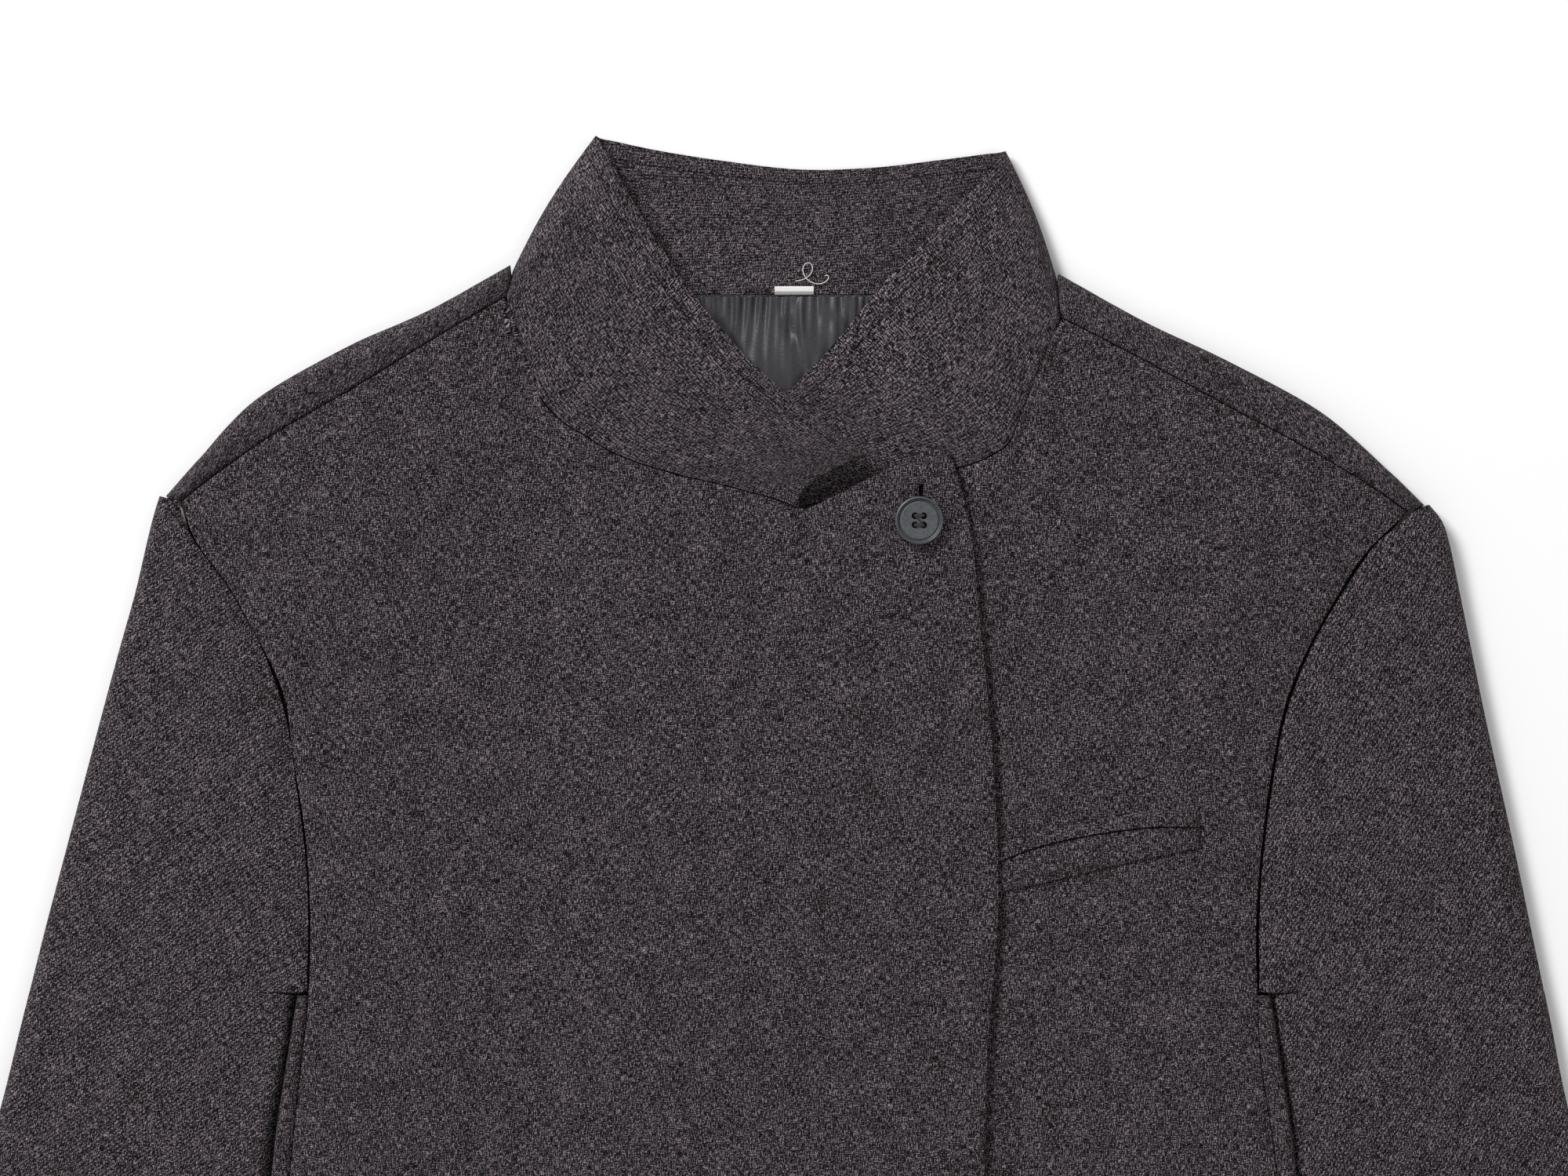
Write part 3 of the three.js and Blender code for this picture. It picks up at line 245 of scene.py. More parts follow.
# Neck, a row for each rib of the collar in front: its foot on the neck seam and its free edge
NECK = {
    Side.RIGHT: Table("x y top edge_x edge_y edge_top", (
        (-106.0, 323.9, 12.6, -67.4, 378.4, 11.8), (-105.4, 315.0, 12.4, -64.0, 371.4, 12.6),
        (-101.2, 303.5, 12.2, -57.4, 359.6, 13.0), (-94.2, 287.0, 12.0, -48.0, 344.4, 13.2),
        (-86.0, 277.0, 11.8, -37.0, 327.8, 13.4), (-76.2, 270.6, 11.7, -25.8, 313.8, 13.4),
        (-62.0, 262.6, 11.6, -13.0, 299.4, 13.6), (-41.7, 256.0, 11.4, 0.4, 287.2, 14.2),
        (-22.8, 251.6, 11.2, 13.0, 277.0, 15.4), (-5.0, 246.8, 11.0, 24.5, 268.2, 17.0),
        (5.4, 243.0, 11.0, 31.2, 263.4, 17.8),
    )),
    Side.LEFT: Table("x y top edge_x edge_y edge_top", (
        (105.6, 316.0, 12.4, 80.6, 374.4, 11.4), (104.0, 309.0, 11.8, 75.2, 368.2, 11.6),
        (99.6, 298.2, 10.9, 64.4, 356.0, 11.3), (93.3, 282.3, 9.9, 51.2, 342.2, 10.6),
        (86.4, 268.4, 9.1, 37.0, 328.0, 9.8), (78.0, 262.4, 8.5, 25.4, 313.4, 9.2),
        (68.4, 258.8, 7.4, 13.4, 299.6, 8.8), (48.0, 253.0, 5.9, 2.4, 289.0, 8.4),
        (26.0, 248.0, 5.2, -8.0, 280.6, 8.2), (8.0, 244.0, 5.2, -19.0, 272.0, 8.1),
        (-2.0, 242.5, 5.4, -25.0, 266.0, 8.0),
    )),
}

# Top edge of each front beyond its neck seam, and its front edge down to the hem
FRONT_TOP = {
    Side.RIGHT: Table("x y top", (
        (9.0, 242.6, 10.8), (21.0, 248.4, 10.8), (34.5, 255.3, 10.8), (48.0, 261.8, 10.8),
        (57.0, 265.4, 10.8), (62.8, 264.8, 10.8),
    )),
    Side.LEFT: Table("x y top", (
        (-8.0, 241.6, 5.5), (-20.0, 244.4, 5.8), (-34.0, 248.6, 6.0), (-48.0, 252.6, 6.2),
    )),
}
FRONT_EDGE = {
    Side.RIGHT: Table("y x", (
        (264.8, 62.8), (257.0, 65.8), (239.0, 70.5), (200.0, 75.0), (135.0, 80.7), (90.0, 82.0),
        (40.0, 78.2), (0.0, 76.8), (-120.0, 76.0), (-250.0, 74.5), (-385.8, 73.0),
    )),
    Side.LEFT: Table("y x", ((252.6, -48.0), (200.0, -49.5), (0.0, -50.0), (-385.8, -50.0))),
}

# Sleeve, from the head to the cuff: the outer fold, and the armhole or the inner fold
LOWER_SLEEVE = (
    (303.6, 0.0, 157.0, -8.0, 11.0), (316.0, -55.0, 161.0, -77.0, 11.0),
    (329.0, -115.0, 176.0, -146.0, 10.8), (341.0, -172.0, 197.0, -205.0, 10.6),
    (346.0, -197.0, 208.0, -230.0, 10.4), (351.5, -226.0, 216.0, -258.0, 10.2),
    (362.5, -287.0, 231.0, -318.0, 9.6), (372.0, -345.0, 245.6, -375.3, 9.0),
)
SLEEVE = {
    Side.RIGHT: Table("out_x out_y in_x in_y top", (
        (239.2, 247.6, 231.0, 245.2, 11.4), (241.6, 240.0, 228.4, 237.4, 11.4),
        (244.4, 229.0, 224.2, 229.0, 11.4),
        (248.6, 211.0, 211.2, 211.0, 11.3), (255.2, 187.5, 198.4, 187.5, 11.2),
        (262.2, 161.5, 189.8, 161.5, 11.1), (269.6, 133.5, 185.6, 133.5, 11.0),
        (276.6, 107.0, 182.3, 107.0, 11.0), (283.2, 82.0, 181.4, 82.0, 11.0),
        (289.2, 58.0, 181.8, 58.0, 11.0), (289.6, 56.6, 179.0, 56.6, 11.0),
        (293.0, 43.0, 171.0, 41.0, 11.0), (297.6, 24.0, 163.0, 20.0, 11.0),
    ) + LOWER_SLEEVE),
    Side.LEFT: Table("out_x out_y in_x in_y top", (
        (247.2, 244.3, 238.9, 241.2, 11.4), (252.2, 238.0, 234.9, 236.4, 11.4),
        (255.2, 229.0, 225.6, 229.0, 11.4),
        (259.0, 211.0, 213.4, 211.0, 11.3), (263.8, 187.5, 200.2, 187.5, 11.2),
        (269.2, 161.5, 190.9, 161.5, 11.1), (275.4, 133.5, 185.9, 133.5, 11.0),
        (281.2, 107.0, 182.6, 107.0, 11.0), (286.4, 82.0, 181.2, 82.0, 11.0),
        (291.4, 58.0, 181.2, 58.0, 11.0), (291.8, 56.6, 178.6, 56.6, 11.0),
        (294.6, 43.0, 170.0, 41.0, 11.0), (298.2, 24.0, 162.0, 20.0, 11.0),
    ) + LOWER_SLEEVE),
}

# Collar at the side folds and the back of the neck, from the right fold to the left one
COLLAR_BACK = Table("x y top edge_x edge_y edge_top bow", (
    (-104.9, 328.4, 10.9, -70.2, 382.4, 9.8, 1.4), (-103.6, 334.6, 6.4, -72.2, 385.8, 6.0, 2.2),
    (-101.4, 331.4, 1.7, -70.4, 385.2, 1.3, 1.6), (-93.0, 326.2, 0.0, -64.0, 383.8, 0.0, 0.0),
    (-70.0, 325.4, 0.0, -48.0, 380.4, 0.0, 0.0), (-36.0, 325.2, 0.0, -24.0, 376.6, 0.0, 0.0),
    (0.0, 325.2, 0.0, 6.0, 373.2, 0.0, 0.0), (36.0, 325.2, 0.0, 34.0, 373.9, 0.0, 0.0),
    (70.0, 325.4, 0.0, 58.0, 376.6, 0.0, 0.0), (92.6, 326.0, 0.0, 76.6, 379.0, 0.0, 0.0),
    (101.6, 330.4, 1.7, 82.8, 379.8, 1.3, 1.2), (103.8, 332.8, 6.4, 85.0, 379.8, 6.0, 1.6),
    (105.0, 325.4, 10.9, 83.4, 377.6, 10.0, 1.0),
))

# Pocket: the lines of its upper lip's edge, its slit and its lower lip's edge
POCKET_LINES = Table("x upper slit lower", (
    (56.0, 106.4, 100.2, 89.6), (81.0, 114.4, 107.0, 95.3), (97.5, 119.4, 113.4, 99.2),
    (117.0, 123.0, 117.7, 103.9), (140.0, 127.7, 120.9, 109.2), (158.6, 129.6, 121.0, 113.0),
))

# Neck seam of the back, from the shoulder to the centre
BACK_NECK = ((103.4, 322.6), (96.0, 324.0), (80.0, 324.5), (55.0, 324.7), (28.0, 324.7), (0.0, 324.7))


@dataclass(frozen=True)
class Crease:
    """A soft ridge, or a trough where height is negative, seen from above."""

    start: tuple[float, float]
    end: tuple[float, float]
    width: float
    height: float
    bow: float = 0.0
    run_out: float = 0.12
    fade: float = 0.35

    def over(self, x: Array, y: Array) -> Array:
        """Return the height that the crease adds at each place."""
        run_x, run_y = self.end[0] - self.start[0], self.end[1] - self.start[1]
        length = math.hypot(run_x, run_y)
        share = ((x - self.start[0]) * run_x + (y - self.start[1]) * run_y) / length**2
        beside = ((x - self.start[0]) * run_y - (y - self.start[1]) * run_x) / length
        beside = beside - self.bow * 4 * share * (1 - share)
        window = smoothstep(share, -self.run_out, self.fade)
        window = window * (1 - smoothstep(share, 1 - self.fade, 1 + self.run_out))
        return self.height * window * np.exp(-((beside / self.width) ** 2))


def relief(creases: Sequence[Crease], x: Array, y: Array) -> Array:
    """Return the height that all creases add together at each place."""
    return sum((crease.over(x, y) for crease in creases), np.zeros_like(x))


# Waves of the slight unevenness: height, length along X and Y, and share of the phase
SWELLS = ((0.16, 31.0, 83.0, 1.0), (0.13, 17.0, -47.0, 2.1), (0.10, 57.0, 23.0, 0.7))


def swell(x: Array, y: Array, phase: float) -> Array:
    """Return the slight unevenness with which cloth lies, as a height."""
    return sum(
        height * np.sin(x / long_x + y / long_y + part * phase) for height, long_x, long_y, part in SWELLS
    )


def pressed_edge(distance: Array, depth: float, reach: float) -> Array:
    """Return how far cloth dips towards a border that it is turned in or sewn along."""
    return depth * np.exp(-((np.maximum(distance, 0.0) / reach) ** 2))


def graded(start: float, end: float, step: float, border: float = BORDER) -> Array:
    """Space stations evenly, with closer ones at both borders.

    Args:
        start: The first station.
        end: The last station.
        step: About how far apart the stations between the borders are.
        border: How wide the strips with close stations are.

    Returns:
        The stations, from start to end.
    """
    sign = math.copysign(1.0, end - start)
    length = abs(end - start)
    near = np.array(BORDER_SHARES) * border
    middle = np.linspace(border, length - border, max(2, round((length - 2 * border) / step) + 1))
    return start + sign * np.concatenate([near, middle, length - near[::-1]])


def body_rows(top: float, first_step: float) -> Array:
    """Space the sections of a body panel: close where it shows, wide below."""
    close = len(BORDER_SHARES)
    shown = graded(top, SHOWN_TO_Y, first_step)[: -close - 1]
    hidden = graded(shown[-1] - first_step, HEM_Y, COARSE_STEP)[close:]
    return np.concatenate([shown, hidden])


# Cloth meshes


@dataclass(frozen=True)
class Cut:
    """The flat cut of a piece of cloth, in metres and square metres."""

    width: float
    length: float
    area: float


def resampled(path: Array, count: int) -> Array:
    """Return points at equal steps along a path of points."""
    lengths = np.concatenate([[0.0], np.cumsum(np.linalg.norm(np.diff(path, axis=0), axis=1))])
    at = np.linspace(0.0, lengths[-1], count)
    return np.stack([np.interp(at, lengths, path[:, axis]) for axis in range(3)], axis=1)


def measured_uv(points: Array) -> Array:
    """Return each point's distance along and across the cloth, in metres, for its weave."""
    across = np.linalg.norm(np.diff(points, axis=1), axis=2)
    along = np.linalg.norm(np.diff(points, axis=0), axis=2)
    u = np.concatenate([np.zeros((points.shape[0], 1)), np.cumsum(across, axis=1)], axis=1)
    v = np.concatenate([np.zeros((1, points.shape[1])), np.cumsum(along, axis=0)], axis=0)
    u -= u[:, points.shape[1] // 2][:, None]
    return np.stack([u, v], axis=2) * MM


def plan_uv(points: Array) -> Array:
    """Return each point's place seen from above, in metres, for the weave of a flat panel."""
    return points[:, :, :2] * MM


def wrapped_uv(points: Array, last: int, turn: float) -> Array:
    """Return the weave's coordinates of a panel that wraps over a fold.

    Args:
        points: The panel's outer points, in millimetres.
        last: The last column of the part that lies flat, which starts at the first column.
        turn: How far the weave is turned from the X axis, in radians.

    Returns:
        The place seen from above, turned, and beyond the flat part the length along each row, in metres.
    """
    x, y = points[:, :, 0], points[:, :, 1]
    cosine, sine = math.cos(turn), math.sin(turn)
    uv = np.stack([x * cosine + y * sine, y * cosine - x * sine], axis=2)
    ahead = uv[:, last] - uv[:, last - 1]
    ahead /= np.linalg.norm(ahead, axis=1)[:, None]
    beyond = np.cumsum(np.linalg.norm(np.diff(points[:, last:], axis=1), axis=2), axis=1)
    uv[:, last + 1 :] = uv[:, last][:, None] + ahead[:, None] * beyond[:, :, None]
    return uv * MM


def make_cloth(name: str, points: Array, uv: Array, thickness: float, outer_z: int) -> bpy.types.Object:
    """Build a wall of cloth from its outer points.

    Args:
        name: The piece's name.
        points: Rows and columns of points on the outer face, in millimetres.
        uv: The weave's coordinates at the same points, in metres.
        thickness: The cloth's thickness, in millimetres.
        outer_z: 1 where the middle of the outer face looks up, and -1 where it looks down.

    Returns:
        The finished object, with its wall.
    """
    rows, columns = points.shape[:2]
    i, j = rows // 2, columns // 2
    across = points[i, j + 1] - points[i, j - 1]
    down = points[i + 1, j] - points[i - 1, j]
    if np.cross(across, down)[2] * outer_z < 0:
        points, uv = points[:, ::-1], uv[:, ::-1]
    grid = bmesh.new()
    bmesh.ops.create_grid(grid, x_segments=columns - 1, y_segments=rows - 1, size=1.0)
    mesh = bpy.data.meshes.new(name)
    grid.to_mesh(mesh)
    grid.free()
    flat = np.empty(rows * columns * 3, np.float32)
    mesh.vertices.foreach_get("co", flat)
    flat = flat.reshape(-1, 3)
    low, high = flat.min(axis=0), flat.max(axis=0)
    column = np.rint((flat[:, 0] - low[0]) / (high[0] - low[0]) * (columns - 1)).astype(int)
    row = np.rint((flat[:, 1] - low[1]) / (high[1] - low[1]) * (rows - 1)).astype(int)
    mesh.vertices.foreach_set("co", (points[row, column] * MM).astype(np.float32).ravel())
    corners = np.empty(len(mesh.loops), np.int32)
    mesh.loops.foreach_get("vertex_index", corners)
    layer = mesh.uv_layers.new(name="cloth")
    layer.data.foreach_set("uv", uv[row, column][corners].astype(np.float32).ravel())
    mesh.shade_smooth()
    piece = bpy.data.objects.new(name, mesh)
    bpy.context.scene.collection.objects.link(piece)
    wall = piece.modifiers.new("wall", "SOLIDIFY")
    wall.thickness = thickness * MM
    wall.offset = -1.0
    return piece


# Shader building


@dataclass(frozen=True)
class Value:
    """A number in a node tree, which takes part in Python expressions."""

    tree: "Tree"
    socket: bpy.types.NodeSocket

    def _math(self, operation: str, first: object, second: object = 0.0) -> "Value":
        """Add a Math node on two values or numbers."""
        node = self.tree.node("ShaderNodeMath", {"operation": operation}, {0: first, 1: second})
        return Value(self.tree, node.outputs[0])

    def __add__(self, other: object) -> "Value":
        """Return the sum."""
        return self._math("ADD", self, other)

    __radd__ = __add__

    def __sub__(self, other: object) -> "Value":
        """Return the difference."""
        return self._math("SUBTRACT", self, other)

    def __rsub__(self, other: object) -> "Value":
        """Return the difference, with this value taken off."""
        return self._math("SUBTRACT", other, self)

    def __mul__(self, other: object) -> "Value":
        """Return the product."""
        return self._math("MULTIPLY", self, other)

    __rmul__ = __mul__

    def sine(self) -> "Value":
        """Return the sine."""
        return self._math("SINE", self)

    def doubled(self) -> "Value":
        """Return 2 raised to this value."""
        return self._math("POWER", 2.0, self)

    def clamped(self) -> "Value":
        """Return the value kept between 0 and 1."""
        return self._math("MINIMUM", self._math("MAXIMUM", self, 0.0), 1.0)


@dataclass
class Tree:
    """A material's node tree."""

    material: bpy.types.Material

    @classmethod
    def new(cls, name: str) -> "Tree":
        """Start a material with nothing but its output."""
        material = bpy.data.materials.new(name)
        material.use_nodes = True
        material.node_tree.nodes.clear()
        return cls(material)

    def node(self, kind: str, settings: dict[str, object], inputs: dict[object, object]) -> bpy.types.Node:
        """Add a node.

        Args:
            kind: The node's type.
            settings: Its properties, set before its sockets.
            inputs: A value, number, colour or socket for each input, by name or place.

        Returns:
            The new node.
        """
        node = self.material.node_tree.nodes.new(kind)
        for key, setting in settings.items():
            setattr(node, key, setting)
        for key, given in inputs.items():
            if isinstance(given, Value):
                given = given.socket
            if isinstance(given, bpy.types.NodeSocket):
                self.material.node_tree.links.new(given, node.inputs[key])
            else:
                node.inputs[key].default_value = given
        return node

    def plan(self) -> bpy.types.NodeSocket:
        """Return the piece's own weave coordinates."""
        return self.node("ShaderNodeUVMap", {"uv_map": "cloth"}, {}).outputs["UV"]

    def scaled(
        self, place: bpy.types.NodeSocket, x: float, y: float, turn: float = 0.0
    ) -> bpy.types.NodeSocket:
        """Return coordinates counted in cells of x by y metres, turned by an angle."""
        settings = {"vector_type": "POINT"}
        inputs = {"Vector": place, "Rotation": Euler((0.0, 0.0, turn)), "Scale": (1.0, 1.0, 1.0)}
        turned = self.node("ShaderNodeMapping", settings, inputs).outputs[0]
        inputs = {"Vector": turned, "Scale": (1 / x, 1 / y, 1.0)}
        return self.node("ShaderNodeMapping", settings, inputs).outputs[0]

    def noise(self, place: bpy.types.NodeSocket, detail: float = 1.0, rough: float = 0.5) -> Value:
        """Return soft noise between about 0 and 1, one blob to a cell."""
        inputs = {"Vector": place, "Scale": 1.0, "Detail": detail, "Roughness": rough}
        return Value(self, self.node("ShaderNodeTexNoise", {"noise_dimensions": "2D"}, inputs).outputs[0])

    def part(self, place: bpy.types.NodeSocket, axis: str) -> Value:
        """Return one coordinate."""
        return Value(self, self.node("ShaderNodeSeparateXYZ", {}, {0: place}).outputs[axis])

    def blend(self, share: Value, first: object, second: object) -> bpy.types.NodeSocket:
        """Return a colour that goes from the first to the second as share goes from 0 to 1."""
        inputs = {"Factor": share, 6: first, 7: second}
        return self.node("ShaderNodeMix", {"data_type": "RGBA"}, inputs).outputs[2]

    def finish(self, surface: dict[str, object], height: Value, distance: float) -> bpy.types.Material:
        """Add the shader with its bump and the output.

        Args:
            surface: Values, numbers and colours for the shader's sockets.
            height: The bump's height, between 0 and 1.
            distance: How high the bump stands, in metres.

        Returns:
            The finished material.
        """
        bump = self.node("ShaderNodeBump", {}, {"Height": height, "Distance": distance, "Strength": 1.0})
        shader = self.node("ShaderNodeBsdfPrincipled", {}, {**surface, "Normal": bump.outputs[0]})
        self.node("ShaderNodeOutputMaterial", {}, {"Surface": shader.outputs[0]})
        return self.material


Colour = tuple[float, float, float, float]
BLACK: Colour = (0.0, 0.0, 0.0, 1.0)


@dataclass(frozen=True)
class MelangeWool:
    """Dark wool twill, in which light and dark fibres mix as flecks and short streaks."""

    name: str
    light: Colour
    fleck: float = 0.00042
    streak: float = 0.0026
    streak_width: float = 0.7
    warp_share: float = 0.7
    weft_share: float = 0.5
    cloud: tuple[float, float] = (0.009, 0.014)
    cloud_share: float = 0.1
    twill: float = 0.0013
    twill_turn: float = 0.75
    twill_share: float = 0.3
    twill_depth: float = 0.06
    waver: float = 0.003
    waver_depth: float = 5.0
    contrast: float = 20.0
    level: float = -4.06
    topstitch: float = 0.0
    stitch_width: float = 0.00035
    stitch_length: float = 0.0026
    relief: float = 0.0005

    def material(self) -> bpy.types.Material:
        """Build the node material: its brightness doubles with each unit of the mixed noises."""
        tree = Tree.new(self.name)
        plan = tree.plan()
        thin = self.fleck * self.streak_width
        flecks = tree.noise(tree.scaled(plan, self.fleck, self.fleck * 1.25), 2.0, 0.65)
        warp = tree.noise(tree.scaled(plan, thin, self.streak), 1.0, 0.6)
        weft = tree.noise(tree.scaled(plan, self.streak, thin), 1.0, 0.6)
        cloud = tree.noise(tree.scaled(plan, *self.cloud), 2.0)
        ribs = tree.scaled(plan, self.twill / math.tau, self.twill * 8, self.twill_turn)
        waver = tree.noise(tree.scaled(plan, self.waver, self.waver), 1.0) * self.waver_depth
        twill = (tree.part(ribs, "X") + waver).sine() * (self.twill_depth * self.twill_share)
        threads = (warp - 0.5) * self.warp_share + (weft - 0.5) * self.weft_share
        mixed = (flecks - 0.5) + threads + (cloud - 0.5) * self.cloud_share + twill
        light = (mixed * self.contrast + self.level).doubled().clamped()
        height = mixed + 0.5
        if self.topstitch:
            beside = (tree.part(plan, "Y") - self.topstitch) * (1 / self.stitch_width)
            row = (beside * beside * -1.0).doubled()
            stitch = (tree.part(plan, "X") * (math.tau / self.stitch_length)).sine() * 0.3 + 0.7
            light = light * (1.0 - row * stitch * 0.75)
            height = height - row * stitch * 0.8
        surface = {
            "Base Color": tree.blend(light, BLACK, self.light), "Roughness": 0.92,
            "Sheen Weight": 0.02, "Sheen Roughness": 0.6, "Specular IOR Level": 0.06,
        }
        return tree.finish(surface, height, self.relief)


@dataclass(frozen=True)
class Satin:
    """Grey lining satin with fine crosswise threads and a soft gloss."""

    name: str
    dark: Colour
    light: Colour

    def material(self) -> bpy.types.Material:
        """Build the node material."""
        tree = Tree.new(self.name)
        plan = tree.plan()
        threads = tree.noise(tree.scaled(plan, 0.0022, 0.00022), 2.0, 0.6)
        patches = tree.noise(tree.scaled(plan, 0.006, 0.018), 2.0)
        colour = tree.blend((threads * 0.7 + patches * 0.5 - 0.1).clamped(), self.dark, self.light)
        surface = {"Base Color": colour, "Roughness": 0.34, "Specular IOR Level": 0.35}
        return tree.finish(surface, threads, 0.00006)


@dataclass(frozen=True)
class WovenTape:
    """Bare white woven tape whose lower half is darker: painted shade, where the strip lies in shadow."""

    name: str
    dark: Colour
    light: Colour
    # The painted shade covers the tape below this line, with a soft edge.
    fold_y: float = 0.3263
    shade_edge_blur: float = 0.0004

    def material(self) -> bpy.types.Material:
        """Build the node material, with painted shade on the lower half of the strip."""
        tree = Tree.new(self.name)
        plan = tree.plan()
        threads = tree.noise(tree.scaled(plan, 0.0005, 0.0003), 2.0)
        # Painted shade: the tape is darkened below its middle line, where it lies in shadow.
        out_of_painted_shade = ((tree.part(plan, "Y") - self.fold_y) * (1 / self.shade_edge_blur) + 0.5).clamped()
        colour = tree.blend(threads * 0.4 + out_of_painted_shade * 0.6, self.dark, self.light)
        return tree.finish({"Base Color": colour, "Roughness": 0.8}, threads, 0.0001)


@dataclass(frozen=True)
class Speckled:
    """A finish with fine speckles on the piece's own space: horn-like plastic or twisted thread."""

    name: str
    dark: Colour
    light: Colour
    cell: float
    roughness: float
    depth: float

    def material(self) -> bpy.types.Material:
        """Build the node material."""
        tree = Tree.new(self.name)
        place = tree.node("ShaderNodeTexCoord", {}, {}).outputs["Object"]
        inputs = {"Vector": place, "Scale": 1 / self.cell, "Detail": 3.0, "Roughness": 0.6}
        grain = Value(tree, tree.node("ShaderNodeTexNoise", {}, inputs).outputs[0])
        colour = tree.blend(((grain - 0.3) * 2.2).clamped(), self.dark, self.light)
        rough = grain * 0.16 + (self.roughness - 0.08)
        return tree.finish({"Base Color": colour, "Roughness": rough}, grain, self.depth)


@dataclass
class Finishes:
    """All finishes of the jacket."""

    body: bpy.types.Material = field(init=False)
    sleeve: bpy.types.Material = field(init=False)
    collar: bpy.types.Material = field(init=False)
    lining: bpy.types.Material = field(init=False)
    label: bpy.types.Material = field(init=False)
    button: bpy.types.Material = field(init=False)
    thread: bpy.types.Material = field(init=False)
    white_thread: bpy.types.Material = field(init=False)

    def __post_init__(self) -> None:
        """Build the materials."""
        light = (0.34, 0.284, 0.318, 1.0)
        self.body = MelangeWool("melange_wool", light).material()
        self.sleeve = MelangeWool("melange_wool_sleeve", light, twill_share=1.0).material()
        self.collar = MelangeWool(
            "melange_wool_collar", light, twill_turn=1.5, twill_share=0.8, level=-3.94, topstitch=0.0524
        ).material()
        self.lining = Satin(
            "lining_satin", (0.010, 0.0095, 0.0115, 1.0), (0.07, 0.0665, 0.0755, 1.0)
        ).material()
        # The label's darker colour is the painted shade of its lower half, mixed with its threads.
        self.label = WovenTape("label_tape", (0.16, 0.155, 0.15, 1.0), (0.9, 0.89, 0.87, 1.0)).material()
        self.button = Speckled(
            "button_slate", (0.046, 0.049, 0.055, 1.0), (0.084, 0.088, 0.096, 1.0), 0.0012, 0.37, 0.00003
        ).material()
        self.thread = Speckled(
            "sewing_thread", (0.006, 0.006, 0.008, 1.0), (0.03, 0.028, 0.034, 1.0), 0.0003, 0.75, 0.00008
        ).material()
        self.white_thread = Speckled(
            "white_thread", (0.5, 0.5, 0.48, 1.0), (0.85, 0.85, 0.82, 1.0), 0.0003, 0.8, 0.00005
        ).material()


def dress(piece: bpy.types.Object, material: bpy.types.Material, nodes: Sequence[str]) -> None:
    """Give a piece its finish, its body and the solids that it stands for."""
    piece.data.materials.clear()
    piece.data.materials.append(material)
    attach(piece, "root")
    if nodes:
        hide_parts(*nodes)
    LOG.info("%s: %d faces", piece.name, len(piece.data.polygons))


# Fronts


